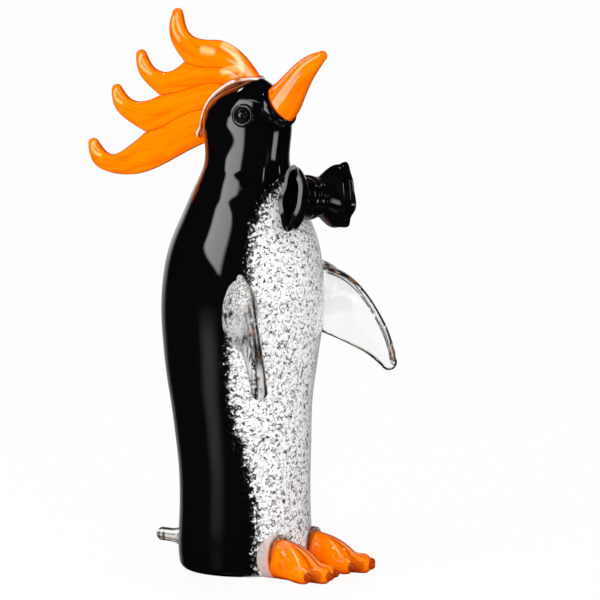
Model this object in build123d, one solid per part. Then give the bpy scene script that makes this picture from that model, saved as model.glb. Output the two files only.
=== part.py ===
from build123d import *
import os
from math import cos, radians, sin

# A standing penguin ornament in solid hot-worked glass, life-like proportions of such ornaments.
# Millimetres. The bird faces -Y, its left side is +X, up is +Z.
# The origin is the middle of the ground base, on the surface that it stands on.

# Trunk and head
base_radius = 33.0
base_edge = 5.0              # melted corner round the ground base
chest_radius = 41.0
chest_height = 136.0
neck_depth = 45.2            # front to back, just under the head
neck_width = 37.0
neck_rise = 70.0             # from the chest up to the neck
neck_lead = 1.5              # how far the neck stands in front of the base's middle
back_lean = 2.2              # how far the waist leans back
head_depth = 48.0
head_width = 34.8
head_rise = 42.5             # from the neck up to the crown
crown_lead = 9.0             # the crown is in front of the middle, because the head tips back
neck_height = chest_height + neck_rise
crown_height = neck_height + head_rise

# White crackled layer let into the front
panel_depth = 2.6
panel_top_gap = 7.0          # how far the layer's arch ends under the neck
panel_height = neck_height - panel_top_gap

# Crest: four pulled feathers on a clear seat
crest_reach = 100.0          # from the crown back to the lowest tip
feather_thickness = 6.4
feather_rounding = 2.5       # melted edge of each feather
curl_radius = 2.7            # rounded end of each curled tip
seat_width = 10.0
seat_thickness = 5.0
drop_radius = 2.3

# Beak and its collar
beak_length = 39.0
beak_height = 19.6
beak_width = 16.4
beak_tip = 2.6
mouth_groove = 1.3
collar_radius = 11.2
collar_thickness = 6.6
collar_rise = 36.0           # degrees above level
beak_root_ahead = 11.0       # how far the root lies ahead of the crown
beak_root_lead = crown_lead + beak_root_ahead
beak_root_drop = 13.9        # how far the root lies under the crown
beak_root_height = crown_height - beak_root_drop

# Eyes
eye_radius = 6.0
eye_thickness = 3.0
eye_bead_radius = 3.2
eye_drop = 17.0              # under the crown
eye_height = crown_height - eye_drop
eye_bearing = 70.0           # degrees round the head's section, from the front
eye_lift = 14.0              # degrees that the eye looks up

# Bow tie
knot_radius = 11.3
knot_width = 15.0
knot_ring = 0.9              # how far each ring of the knot swells
knot_rings = 3
bow_stand = 15.6             # how far the knot's middle stands in front of the neck's skin
bow_drop = 15.2              # and how far it hangs under the neck
bow_lead = neck_depth / 2 + bow_stand
bow_height = neck_height - bow_drop
bow_half_span = 26.5
lobe_height = 33.0
lobe_depth = 13.0
lobe_wall = 2.5
lobe_hollow = 12.5           # depth pressed into each lobe's end
lobe_sweep = 6.0             # how far the lobes' ends stand in front of the knot
bow_tilt = 4.0               # degrees, right side up

# Wings
wing_length = 38.0
wing_root_height = 34.6
wing_root_thickness = 18.0
wing_thickness = 9.0
wing_tip_radius = 4.2
wing_rim = 1.9               # radius of the rod along the leading edge
wing_drop = 37.0             # how far the tip hangs under the middle of the root
wing_root_bearing = 57.0     # degrees round the chest, from the front
wing_root_drop = 2.5         # under the chest's widest level
wing_height = chest_height - wing_root_drop
wing_bearing = 40.0          # degrees out from straight ahead

# Feet
foot_spread = 14.5           # from the middle to each heel
heel_sink = 2.0              # how deep the heels sit in the trunk
heel_lead = base_radius - heel_sink
heel_height = 20.5
heel_width = 17.0
toe_radius = 4.4
toe_length = 29.0
toe_splay = 18.0             # degrees between toes
foot_turns = {"left": 15.0, "right": 1.5}    # degrees that each foot turns out
foot_seat_length = 7.0
foot_seat_lip = 1.0          # how far the clear seat stands proud of the heel
sole_press = 0.5             # how deep each foot is pressed flat on the floor

# Tail
tail_length = 21.0           # behind the trunk
tail_reach = base_radius + tail_length
tail_height = 12.0
tail_radius = 3.4
tail_flare = 11.0
tail_flare_length = 9.0      # how far behind the trunk the flare runs out
tail_sink = 2.5              # how deep the flare's widest part lies in the trunk

overrun = 20.0               # spare length of every cutting form
end_fit_share = 0.97         # a pulled form's last section, inside the ball that rounds its end

left_side = Vector(1, 0, 0)


def spot(forward, up, side=0):
    return Vector(side, -forward, up)


def heading(bearing, rise):
    """Unit direction from degrees out to the left of straight ahead and degrees above level."""
    level = cos(radians(rise))
    return spot(level * cos(radians(bearing)), sin(radians(rise)), level * sin(radians(bearing)))


def pulled(stations, flat):
    """Lofts oval sections along a path and rounds off its far end.

    flat is the direction across the thin side. The last station holds the end's own radius twice.
    """
    last = len(stations) - 1
    sections = []
    for i, (centre, wide, thick) in enumerate(stations):
        along = (stations[min(i + 1, last)][0] - stations[max(i - 1, 0)][0]).normalized()
        across = flat.cross(along).normalized()
        fit = end_fit_share if i == last else 1
        sections.append(Plane(centre, x_dir=across, z_dir=along) * Ellipse(wide * fit, thick * fit))
    return loft(sections) + Pos(stations[-1][0]) * Sphere(stations[-1][1])


# Trunk: oval sections from the base to the crown, the chest round and the head narrow

lower_shares = [(0, 0, 0), (0.22, 0, 0), (0.44, 0.06, 0.27), (0.63, 0.34, 1), (0.81, 0.71, 1), (1, 1, 0.55)]
upper_shares = [(0.23, 0.06, -0.5), (0.457, 0.26, 0), (0.63, 0.5, 0.35), (0.8, 0.74, 0.7), (1, 1, 1)]
head_shares = [
    (0.235, 0.975, 1, 0.17),
    (0.494, 1, 1, 0.18),
    (0.66, 0.9, 0.92, 0.29),
    (0.8, 0.71, 0.76, 0.5),
    (0.918, 0.45, 0.52, 0.78),
    (0.985, 0.2, 0.24, 0.95),
]


def trunk_sections(inset):
    """Height, half depth, half width and lead of each section, drawn in by inset."""
    rows = []
    for height_share, swell_share, lean_share in lower_shares:
        radius = base_radius + (chest_radius - base_radius) * swell_share
        rows.append((chest_height * height_share, radius, radius, -back_lean * lean_share))
    for height_share, narrow_share, lead_share in upper_shares:
        height = chest_height + (neck_height - chest_height) * height_share
        half_depth = chest_radius + (neck_depth / 2 - chest_radius) * narrow_share
        half_width = chest_radius + (neck_width / 2 - chest_radius) * narrow_share
        rows.append((height, half_depth, half_width, neck_lead * lead_share))
    for height_share, depth_share, width_share, lead_share in head_shares:
        height = neck_height + (crown_height - neck_height) * height_share
        half_depth = head_depth / 2 * depth_share
        half_width = head_width / 2 * width_share
        rows.append((height, half_depth, half_width, crown_lead * lead_share))
    return [(height, depth - inset, width - inset, lead) for height, depth, width, lead in rows]


def trunk_form(inset=0):
    ovals = []
    for height, half_depth, half_width, lead in trunk_sections(inset):
        if half_width > 0:
            plane = Plane(spot(lead, height), x_dir=(0, -1, 0), z_dir=(0, 0, 1))
            ovals.append(plane * Ellipse(half_depth, half_width))
    return loft(ovals)


def trunk_at(height):
    """Half depth, half width and lead of the trunk at a height, between its sections."""
    rows = trunk_sections(0)
    for low, high in zip(rows, rows[1:]):
        if low[0] <= height <= high[0]:
            part = (height - low[0]) / (high[0] - low[0])
            return [a + (b - a) * part for a, b in zip(low[1:], high[1:])]
    return rows[-1][1:]


trunk = trunk_form()
trunk = fillet(trunk.edges().group_by(Axis.Z)[0], base_edge)

# Belly panel: a layer of the front, bounded by an arch that is widest at the wings

panel_shares = [(0.585, 0), (0.67, 0.30), (0.91, 0.60), (0.78, 0.76), (0.45, 0.935), (0, 1)]
panel_points = [(chest_radius * wide, panel_height * high) for wide, high in panel_shares]
panel_side = Plane.XZ * Spline(panel_points, tangents=[(0, 1), (-1, 0)])
panel_foot = Plane.XZ * Line((-panel_points[0][0], 0), panel_points[0])
panel_outline = make_face(panel_side + mirror(panel_side, Plane.YZ) + panel_foot)
panel_prism = extrude(panel_outline, amount=chest_radius + overrun, dir=(0, -1, 0))
belly_panel = (trunk & panel_prism) - trunk_form(panel_depth)
body = trunk - belly_panel

# Crest: the seat follows the back of the head, and the feathers fan out from it

seat_shares = [
    (0.02, 0.0, 0.7),
    (-0.10, -0.02, 1),
    (-0.20, -0.07, 1),
    (-0.275, -0.135, 0.9),
    (-0.315, -0.21, 0.7),
    (-0.333, -0.27, 0.5),
]


def crest_spot(back_share, up_share):
    return spot(crown_lead + crest_reach * back_share, crown_height + crest_reach * up_share)


seat_stations = [
    (crest_spot(back, up), seat_thickness / 2 * broad, seat_width / 2 * broad)
    for back, up, broad in seat_shares
]
seat_band = [(centre, wide, thick) for centre, thick, wide in seat_stations]


def seat_loft(stations):
    """The seat is broader across the head than it is thick, so its sections lie crosswise."""
    sections = []
    last = len(stations) - 1
    for i, (centre, wide, thick) in enumerate(stations):
        along = (stations[min(i + 1, last)][0] - stations[max(i - 1, 0)][0]).normalized()
        sections.append(Plane(centre, x_dir=left_side, z_dir=along) * Ellipse(wide, thick))
    return loft(sections)


drop = Pos(seat_band[-1][0]) * Sphere(drop_radius)
crest_seat = seat_loft(seat_band) + drop - trunk

# Feather outlines in the bird's middle plane, as shares of crest_reach forward of and above the crown.
# A groove runs from the notch between two feathers to their root, and both feathers share it.
groove_shares = [
    [(-0.456, 0.048), (-0.334, 0.032), (-0.182, 0.033), (-0.047, -0.041)],
    [(-0.609, -0.135), (-0.456, -0.096), (-0.273, -0.044), (-0.096, -0.076)],
    [(-0.697, -0.328), (-0.578, -0.287), (-0.426, -0.207), (-0.230, -0.169)],
]
arriving_turns = [-42, -30, -12]    # degrees above level that a feather's lower edge has at its notch
leaving_turns = [212, 200, 206]     # and that the upper edge of the next feather has there
crest_front_shares = [(0.05, -0.052), (-0.023, 0.037), (-0.121, 0.127), (-0.23, 0.17), (-0.346, 0.167)]
crest_back_shares = [(-0.902, -0.554), (-0.694, -0.53)]
crest_back_turn = 20          # degrees above level of the lowest edge where it leaves the curl
crest_nape_shares = (-0.23, -0.311)
over_curl_shares = [[(-0.430, 0.190)], [(-0.56, -0.013), (-0.652, 0.003)], [(-0.694, -0.176), (-0.796, -0.176)],
                    [(-0.816, -0.424), (-0.92, -0.468)]]
curl_tip_shares = [(-0.5, 0.2865), (-0.722, 0.056), (-0.871, -0.131), (-1.022, -0.417)]
curl_turns = [88, 97, 102, 108]    # degrees above level that each tip points, 90 is straight up
under_curl_shares = [[(-0.548, 0.207), (-0.523, 0.123)], [(-0.738, -0.022), (-0.682, -0.086)],
                     [(-0.888, -0.211), (-0.816, -0.275)], [(-1.024, -0.504)]]


def crest_points(shares):
    return [crest_spot(forward, up) for forward, up in shares]


grooves = [Spline(crest_points(shares)) for shares in groove_shares]


def feather(number):
    """One feather between the groove above it and the groove below it."""
    first = number == 0
    final = number == len(grooves)
    start = crest_points(crest_front_shares if first else groove_shares[number - 1][:1])
    end = crest_points(crest_back_shares if final else groove_shares[number][:1])
    tip = crest_points(curl_tip_shares)[number]
    tip_way = heading(0, curl_turns[number])
    tip_side = tip_way.cross(left_side) * curl_radius
    over = start + crest_points(over_curl_shares[number]) + [tip - tip_side]
    under = [tip + tip_side] + crest_points(under_curl_shares[number]) + end
    start_way = (over[1] - over[0]).normalized() if first else heading(0, leaving_turns[number - 1])
    end_way = heading(0, crest_back_turn if final else arriving_turns[number])
    outline = [
        Spline(over, tangents=[start_way, tip_way]),
        ThreePointArc(over[-1], tip + tip_way * curl_radius, under[0]),
        Spline(under, tangents=[tip_way * -1, end_way]),
    ]
    outline += [] if first else [grooves[number - 1]]
    nape = crest_spot(*crest_nape_shares)
    outline.append(TangentArc([under[-1], nape], tangent=end_way) if final else grooves[number])
    upper_root = start[0] if first else crest_points(groove_shares[number - 1])[-1]
    lower_root = nape if final else crest_points(groove_shares[number])[-1]
    outline.append(Line(upper_root, lower_root))
    plate = extrude(make_face(outline), amount=feather_thickness / 2, dir=left_side, both=True)
    sides = plate.faces().sort_by(Axis.X)
    rims = (sides[0].edges() + sides[-1].edges()).filter_by(GeomType.LINE, reverse=True)
    return fillet(rims, feather_rounding) - trunk - crest_seat


crest_feathers = [feather(number) for number in range(len(curl_tip_shares))]

# Beak: tapers to a melted tip, with the mouth pressed in along both sides

beak_start = spot(beak_root_lead, beak_root_height)
# Ahead, up, height and width shares: the beak bends forward to its tip
beak_shares = [
    (-0.033, -0.041, 1, 1),
    (0.067, 0.059, 1, 0.98),
    (0.238, 0.272, 0.8, 0.82),
    (0.444, 0.523, 0.58, 0.61),
    (0.603, 0.656, 0.4, 0.43),
]
beak_tip_shares = (0.692, 0.718)


def beak_spot(ahead, up):
    return beak_start + spot(ahead, up) * beak_length


beak_stations = [
    (beak_spot(ahead, up), beak_height / 2 * high, beak_width / 2 * wide) for ahead, up, high, wide in beak_shares
]
beak_stations.append((beak_spot(*beak_tip_shares), beak_tip, beak_tip))
beak_form = pulled(beak_stations, left_side)

collar_way = heading(0, collar_rise)
collar_shares = [(-0.5, 0.84), (-0.36, 0.95), (0, 1), (0.36, 0.95), (0.5, 0.84)]
collar_form = loft(
    [
        Plane(beak_start + collar_way * collar_thickness * along, x_dir=left_side, z_dir=collar_way)
        * Circle(collar_radius * round_share)
        for along, round_share in collar_shares
    ]
)
beak_cone = beak_form - trunk
# The mouth is pressed in with a rod, low on both sides, from just past the collar almost to the tip
mouth_shares = [(0.17, -0.01, 0.86), (0.59, 0.54, 0.36)]
beak = beak_cone
for side in (-1, 1):
    low, high = [
        beak_spot(ahead, up) + left_side * side * beak_width / 2 * out for ahead, up, out in mouth_shares
    ]
    press = Plane(low, z_dir=high - low) * Circle(mouth_groove)
    beak = beak - extrude(press, amount=(high - low).length)
beak_collar = collar_form - trunk - beak_cone

# Eyes: a low round disc on the side of the head, with a bead in its middle

eye_depth, eye_width, eye_lead = trunk_at(eye_height)
eye_spot = spot(
    eye_lead + eye_depth * cos(radians(eye_bearing)),
    eye_height,
    eye_width * sin(radians(eye_bearing)),
)
eye_way = Vector(
    sin(radians(eye_bearing)) / eye_width,
    -cos(radians(eye_bearing)) / eye_depth,
    0,
).normalized() * cos(radians(eye_lift)) + Vector(0, 0, sin(radians(eye_lift)))
eye_plane = Plane(eye_spot, z_dir=eye_way)
disc_top_shares = [(1, 0), (0.72, 1), (0, 0.8)]
disc_top = [(eye_radius * out, eye_thickness / 2 * high) for out, high in disc_top_shares]
disc_foot = Polyline(disc_top[-1], (0, -eye_thickness / 2), (eye_radius, -eye_thickness / 2), disc_top[0])
disc_edge = Spline(disc_top, tangents=[(0, 1), (-1, 0)])
disc_form = revolve(make_face(Plane.XZ * (disc_foot + disc_edge)), Axis.Z)
bead_seat_share = 0.6
eye_bead_form = eye_plane * Pos(0, 0, eye_thickness / 2 * bead_seat_share) * Sphere(eye_bead_radius)
eye_bead_left = eye_bead_form - trunk
eye_disc_left = eye_plane * disc_form - trunk - eye_bead_form

# Bow tie: a ringed barrel between two pinched fans with hollowed ends

ring_width = knot_width / knot_rings
ring_edges = [-knot_width / 2 + ring_width * i for i in range(knot_rings + 1)]


knot_end_share = 0.2    # how much narrower the knot is at its ends


def knot_outline_radius(across):
    narrowing = knot_radius * knot_end_share * (2 * across / knot_width) ** 2
    return knot_radius - knot_ring - narrowing


knot_arcs = []
for start, end in zip(ring_edges, ring_edges[1:]):
    middle = (start + end) / 2
    knot_arcs.append(
        ThreePointArc(
            (start, knot_outline_radius(start)),
            (middle, knot_outline_radius(middle) + knot_ring),
            (end, knot_outline_radius(end)),
        )
    )
knot_ends = Polyline(
    (ring_edges[0], knot_outline_radius(ring_edges[0])),
    (ring_edges[0], 0),
    (ring_edges[-1], 0),
    (ring_edges[-1], knot_outline_radius(ring_edges[-1])),
)
knot_profile = make_face(knot_ends + Curve(knot_arcs))
bow_centre = spot(bow_lead, bow_height)
bow_pose = Pos(bow_centre) * Rot(0, bow_tilt, 0)
knot_form = bow_pose * revolve(knot_profile, Axis.X)
bow_knot = knot_form - trunk

lobe_shares = [(0.12, 0.5, 0.8), (0.35, 0.57, 0.92), (0.6, 0.74, 1), (0.82, 0.92, 1), (1, 1, 0.92)]


rim_round_share = 0.42    # the rolled rim of a lobe, as a share of its wall


def lobe_sections(side, inset, start):
    sections = []
    for out_share, height_share, depth_share in lobe_shares:
        if bow_half_span * out_share >= start:
            plane = Plane(
                spot(lobe_sweep * out_share, 0, side * bow_half_span * out_share),
                x_dir=(0, 0, 1),
                z_dir=(side, 0, 0),
            )
            half_height = lobe_height / 2 * height_share - inset
            half_depth = lobe_depth / 2 * depth_share - inset
            sections.append(plane * Ellipse(half_height, half_depth))
    return sections


def bow_lobe(side):
    outer = loft(lobe_sections(side, 0, 0))
    hollow = loft(lobe_sections(side, lobe_wall, bow_half_span - lobe_hollow))
    pressed = outer - hollow
    rims = pressed.edges().sort_by(Axis.X)
    rim = rims[-2:] if side > 0 else rims[:2]
    return bow_pose * fillet(rim, lobe_wall * rim_round_share) - knot_form - trunk


bow_lobe_left = bow_lobe(1)
bow_lobe_right = bow_lobe(-1)

# Wings: upright blades that sweep forward and out, thick at the root, with a rod along the leading edge

wing_way = heading(wing_bearing, 0)
wing_flat = heading(wing_bearing - 90, 0)
wing_start = heading(wing_root_bearing, 0) * chest_radius + spot(0, wing_height)
# Along, up, half height and how much of the root's extra thickness is left
wing_shares = [
    (-0.14, 0.02, 0.54, 1),
    (0.04, 0.0, 0.5, 0.85),
    (0.30, -0.15, 0.43, 0.15),
    (0.55, -0.38, 0.33, 0),
    (0.74, -0.60, 0.23, 0),
]
wing_tip_shares = (0.90, -0.87)
rim_shares = [(-0.1, 0.53), (0.09, 0.46), (0.31, 0.25), (0.5, 0.02), (0.66, -0.2), (0.82, -0.47), (0.94, -0.74)]


def wing_spot(out_share, up_share):
    return wing_start + wing_way * wing_length * out_share + Vector(0, 0, wing_drop * up_share)


wing_stations = []
for out_share, up_share, breadth_share, root_share in wing_shares:
    thick = wing_thickness / 2 + (wing_root_thickness - wing_thickness) / 2 * root_share
    wing_stations.append((wing_spot(out_share, up_share), wing_root_height * breadth_share, thick))
wing_stations.append((wing_spot(*wing_tip_shares), wing_tip_radius, wing_tip_radius))
wing_blade = pulled(wing_stations, wing_flat)
rim_stations = [(wing_spot(out, up), wing_rim, wing_rim) for out, up in rim_shares]
wing_left = (wing_blade + pulled(rim_stations, wing_flat)) - trunk

# Feet: a heel pulled out into three toes, on a clear seat that joins it to the trunk

toe_length_shares = {-1: 0.78, 0: 1, 1: 0.94}
toe_shares = [(0, 1, 1, 1), (0.3, 0.88, 0.88, 0.95), (0.6, 0.66, 0.66, 0.8), (0.84, 0.46, 0.46, 0.56)]


def toe(turn, length):
    way = heading(turn, 0)
    stations = []
    for along_share, middle_share, high_share, wide_share in toe_shares:
        high = max(heel_height / 2 * high_share, toe_radius)
        wide = max(heel_width / 2 * wide_share, toe_radius)
        centre = way * length * along_share + Vector(0, 0, heel_height / 2 * middle_share - sole_press)
        stations.append((centre, high, min(wide, high)))
    stations.append((way * length + Vector(0, 0, toe_radius - sole_press), toe_radius, toe_radius))
    return pulled(stations, heading(turn + 90, 0))


def foot_form(turn_out):
    toes = [toe(turn_out + toe_splay * step, toe_length * share) for step, share in toe_length_shares.items()]
    return toes[0] + toes[1] + toes[2]


foot_seat_shares = [(-1, 1), (0, 1), (0.5, 0.97)]    # along the seat, and how full it is there


def foot_and_seat(side, turn_out):
    heel = spot(heel_lead, 0, side * foot_spread)
    way = heading(side * turn_out, 0)
    seat_half = heel_height / 2 + foot_seat_lip
    seat_shape = []
    for along_share, swell_share in foot_seat_shares:
        centre = heel + way * foot_seat_length * along_share + Vector(0, 0, seat_half - sole_press)
        across = Plane(centre, x_dir=(0, 0, 1), z_dir=way)
        half_wide = (heel_width / 2 + foot_seat_lip) * swell_share
        seat_shape.append(across * Ellipse(seat_half * swell_share, half_wide))
    floor_block = Pos(0, 0, -overrun / 2) * Box(tail_reach * 2, tail_reach * 2 + overrun, overrun)
    meeting = Plane(heel + way * foot_seat_length * foot_seat_shares[-1][0], z_dir=way)
    foot = split(Pos(heel) * foot_form(side * turn_out), bisect_by=meeting, keep=Keep.TOP)
    return foot - floor_block - trunk, loft(seat_shape) - floor_block - trunk


foot_left, foot_seat_left = foot_and_seat(1, foot_turns["left"])
foot_right, foot_seat_right = foot_and_seat(-1, foot_turns["right"])

# Tail: a clear nub drawn out of the middle of the back

tail_root = base_radius - tail_sink
tail_curve = Spline(
    [(tail_root, tail_flare), (base_radius + tail_flare_length, tail_radius)],
    tangents=[(0, -1), (1, 0)],
)
tail_straight = Line((base_radius + tail_flare_length, tail_radius), (tail_reach - tail_radius, tail_radius))
tail_end = RadiusArc((tail_reach - tail_radius, tail_radius), (tail_reach, 0), tail_radius)
tail_axis = Polyline((tail_reach, 0), (tail_root, 0), (tail_root, tail_flare))
tail_profile = make_face(tail_curve + tail_straight + tail_end + tail_axis)
tail = Pos(0, 0, tail_height) * Rot(0, 0, 90) * revolve(tail_profile, Axis.X) - trunk

pieces = {
    "body": body,
    "belly_panel": belly_panel,
    "crest_seat": crest_seat,
    "beak": beak,
    "beak_collar": beak_collar,
    "eye_disc_left": eye_disc_left,
    "eye_disc_right": mirror(eye_disc_left, Plane.YZ),
    "eye_bead_left": eye_bead_left,
    "eye_bead_right": mirror(eye_bead_left, Plane.YZ),
    "bow_knot": bow_knot,
    "bow_lobe_left": bow_lobe_left,
    "bow_lobe_right": bow_lobe_right,
    "wing_left": wing_left,
    "wing_right": mirror(wing_left, Plane.YZ),
    "foot_left": foot_left,
    "foot_right": foot_right,
    "foot_seat_left": foot_seat_left,
    "foot_seat_right": foot_seat_right,
    "tail": tail,
}
for number, blade in enumerate(crest_feathers, start=1):
    pieces[f"crest_feather_{number}"] = blade

os.makedirs("parts", exist_ok=True)
for name, piece in pieces.items():
    export_step(piece, f"parts/{name}.step")
    print(name, len(piece.solids()), "solids", round(piece.volume), "mm3")
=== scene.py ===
import math
import bmesh
import bpy
import numpy as np
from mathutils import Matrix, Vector


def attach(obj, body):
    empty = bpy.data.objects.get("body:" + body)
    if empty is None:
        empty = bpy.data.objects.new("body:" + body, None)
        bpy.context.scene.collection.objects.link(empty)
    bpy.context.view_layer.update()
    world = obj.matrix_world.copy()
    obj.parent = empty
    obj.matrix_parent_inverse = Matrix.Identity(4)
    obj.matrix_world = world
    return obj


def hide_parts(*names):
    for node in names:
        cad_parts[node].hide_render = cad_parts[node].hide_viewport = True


# Standing penguin ornament in hot-worked glass: the looks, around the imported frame.
# Tables are in millimetres, or in shares of the sizes beside them, as forward, up and side.
# The bird faces -Y, its left side is +X, up is +Z.

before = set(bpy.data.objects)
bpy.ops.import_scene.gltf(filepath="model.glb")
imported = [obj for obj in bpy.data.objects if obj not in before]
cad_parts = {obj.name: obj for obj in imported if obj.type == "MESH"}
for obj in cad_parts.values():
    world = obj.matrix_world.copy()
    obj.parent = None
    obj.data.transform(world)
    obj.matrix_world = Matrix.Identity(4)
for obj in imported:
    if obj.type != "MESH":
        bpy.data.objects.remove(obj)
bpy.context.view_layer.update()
mm = 0.001
print("frame loaded:", len(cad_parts), "nodes")


def spot(forward, up, side=0.0):
    return np.array([side, -forward, up], float)


leftWay, aheadWay, upWay = spot(0, 0, 1), spot(1, 0), spot(0, 1)


def circle(degrees):
    return math.cos(math.radians(degrees)), math.sin(math.radians(degrees))


def heading(bearing, rise=0.0):
    # unit direction, from degrees round to the left of straight ahead and degrees above level
    (ahead, left), (level, up) = circle(bearing), circle(rise)
    return spot(level * ahead, up, level * left)


def unit(vectors):
    vectors = np.asarray(vectors, float)
    return vectors / np.maximum(np.linalg.norm(vectors, axis=-1, keepdims=True), 1e-12)


def smoothStep(low, high, value):
    t = np.clip((value - low) / (high - low), 0, 1)
    return t * t * (3 - 2 * t)


def fallingStep(low, high, value):
    return 1 - smoothStep(low, high, value)


def around(count):
    return np.linspace(0, 2 * math.pi, count, endpoint=False)


def between(first, last, share):
    return first + (last - first) * share


def hill(value, middle, width):
    return np.exp(-((value - middle) / width) ** 2)


view = {
    "azimuth": -55.0, "elevation": 9.0, "aim": (15.8, -22.5, 135.7), "distance": 6000.0,
    "seenWidth": 300.0,         # how much the frame shows at the aim
    "sensor": 36.0, "clipEnd": 100.0,
}
studio = {
    "worldGlow": 0.95,          # what the room gives to matt surfaces
    "roomGloss": 0.002,         # what polished glass sees of the dark half of the room
    "backdropGloss": 0.8,       # and of the white half behind the bird
    "backdrop": (0.74, 0.94), "backdropTop": (0.25, 0.6),       # where that half starts and ends
    "clearSide": (-0.1, 0.35), "clearTop": (0.5, 0.8),          # the same for what shows through clear glass
    "throughDark": 0.03,        # the least that shows through clear glass
    "aimTop": 248.5,            # softboxes aim at the bird's axis, no higher than this
    "floorShade": 0.86, "floorGloss": 0.004, "floorRadius": 6000.0, "floorCorners": 64, "floorDrop": 0.05,
    "floorLift": 0.93,          # how far the camera sees the floor lifted to white
}
# azimuth, distance, height, width, tall and radiance of each softbox, and a strip's soft border
softboxes = {
    "sideFill": (-104, 1000, 360, 820, 660, 3.4),
    "frontFill": (-40, 1500, 700, 900, 900, 3.2),
    "topFill": (-60, 300, 1000, 420, 420, 1.5),
    "sideStrip": (-98, 120, 261, 116, 178, 3.6, 0.14),
    "lowStrip": (-100, 150, 58, 90, 150, 0.4, 0.45),
    "edgeStrip": (-3, 400, 104, 170, 100, 3.2, 0.3),
    "topLeft": (180, 620, 900, 160, 110, 9.0, 0.25),
    "topRight": (40, 620, 900, 160, 110, 9.0, 0.25),
    "bowStrip": (25, 700, 290, 50, 220, 4.5, 0.35),
    "frontStrip": (-30, 900, 520, 70, 520, 3.0, 0.3),
    "crownStrip": (-78, 600, 880, 700, 60, 3.0, 0.4),
}
# what the mask of the near strip cuts away at its pointed foot, its waist and its lower front
nearMask = {
    "strip": "sideStrip", "footBorder": 0.04, "point": 0.7, "pointRise": (-0.04, 0.3), "waist": 0.24,
    "waistLow": (0.41, 0.48), "waistHigh": (0.48, 0.6), "waistBack": 0.3, "front": 0.2, "frontRise": (0.6, 0.68),
}
stripShade = (1.15, 0.35)       # glow at a strip's back edge, and how much less it has at its front edge


def addToScene(name, data):
    thing = bpy.data.objects.new(name, data)
    bpy.context.scene.collection.objects.link(thing)
    return thing


def aimedAt(thing, place, aim):
    thing.location = place
    thing.rotation_euler = (aim - place).to_track_quat("-Z", "Y").to_euler()


def setCamera():
    aim = Vector(view["aim"]) * mm
    data = bpy.data.cameras.new("photoCamera")
    data.sensor_width = view["sensor"]
    data.lens = view["sensor"] * view["distance"] / view["seenWidth"]
    data.clip_end = view["clipEnd"]
    camera = addToScene("photoCamera", data)
    aimedAt(camera, aim + Vector(heading(view["azimuth"], view["elevation"])) * view["distance"] * mm, aim)
    bpy.context.scene.camera = camera
    bpy.context.scene.view_settings.view_transform = "Standard"


class Wire:
    # one output socket; sums on it add Math nodes
    def __init__(self, kit, socket):
        self.kit = kit
        self.socket = socket

    def __add__(self, other):
        return self.kit.calc("ADD", self, other)

    def __sub__(self, other):
        return self.kit.calc("SUBTRACT", self, other)

    def __rsub__(self, other):
        return self.kit.calc("SUBTRACT", other, self)

    def __mul__(self, other):
        return self.kit.calc("MULTIPLY", self, other)

    def __truediv__(self, other):
        return self.kit.calc("DIVIDE", self, other)

    def __gt__(self, other):
        return self.kit.calc("GREATER_THAN", self, other)

    def __lt__(self, other):
        return self.kit.calc("LESS_THAN", self, other)

    def __abs__(self):
        return self.kit.calc("ABSOLUTE", self)


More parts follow.
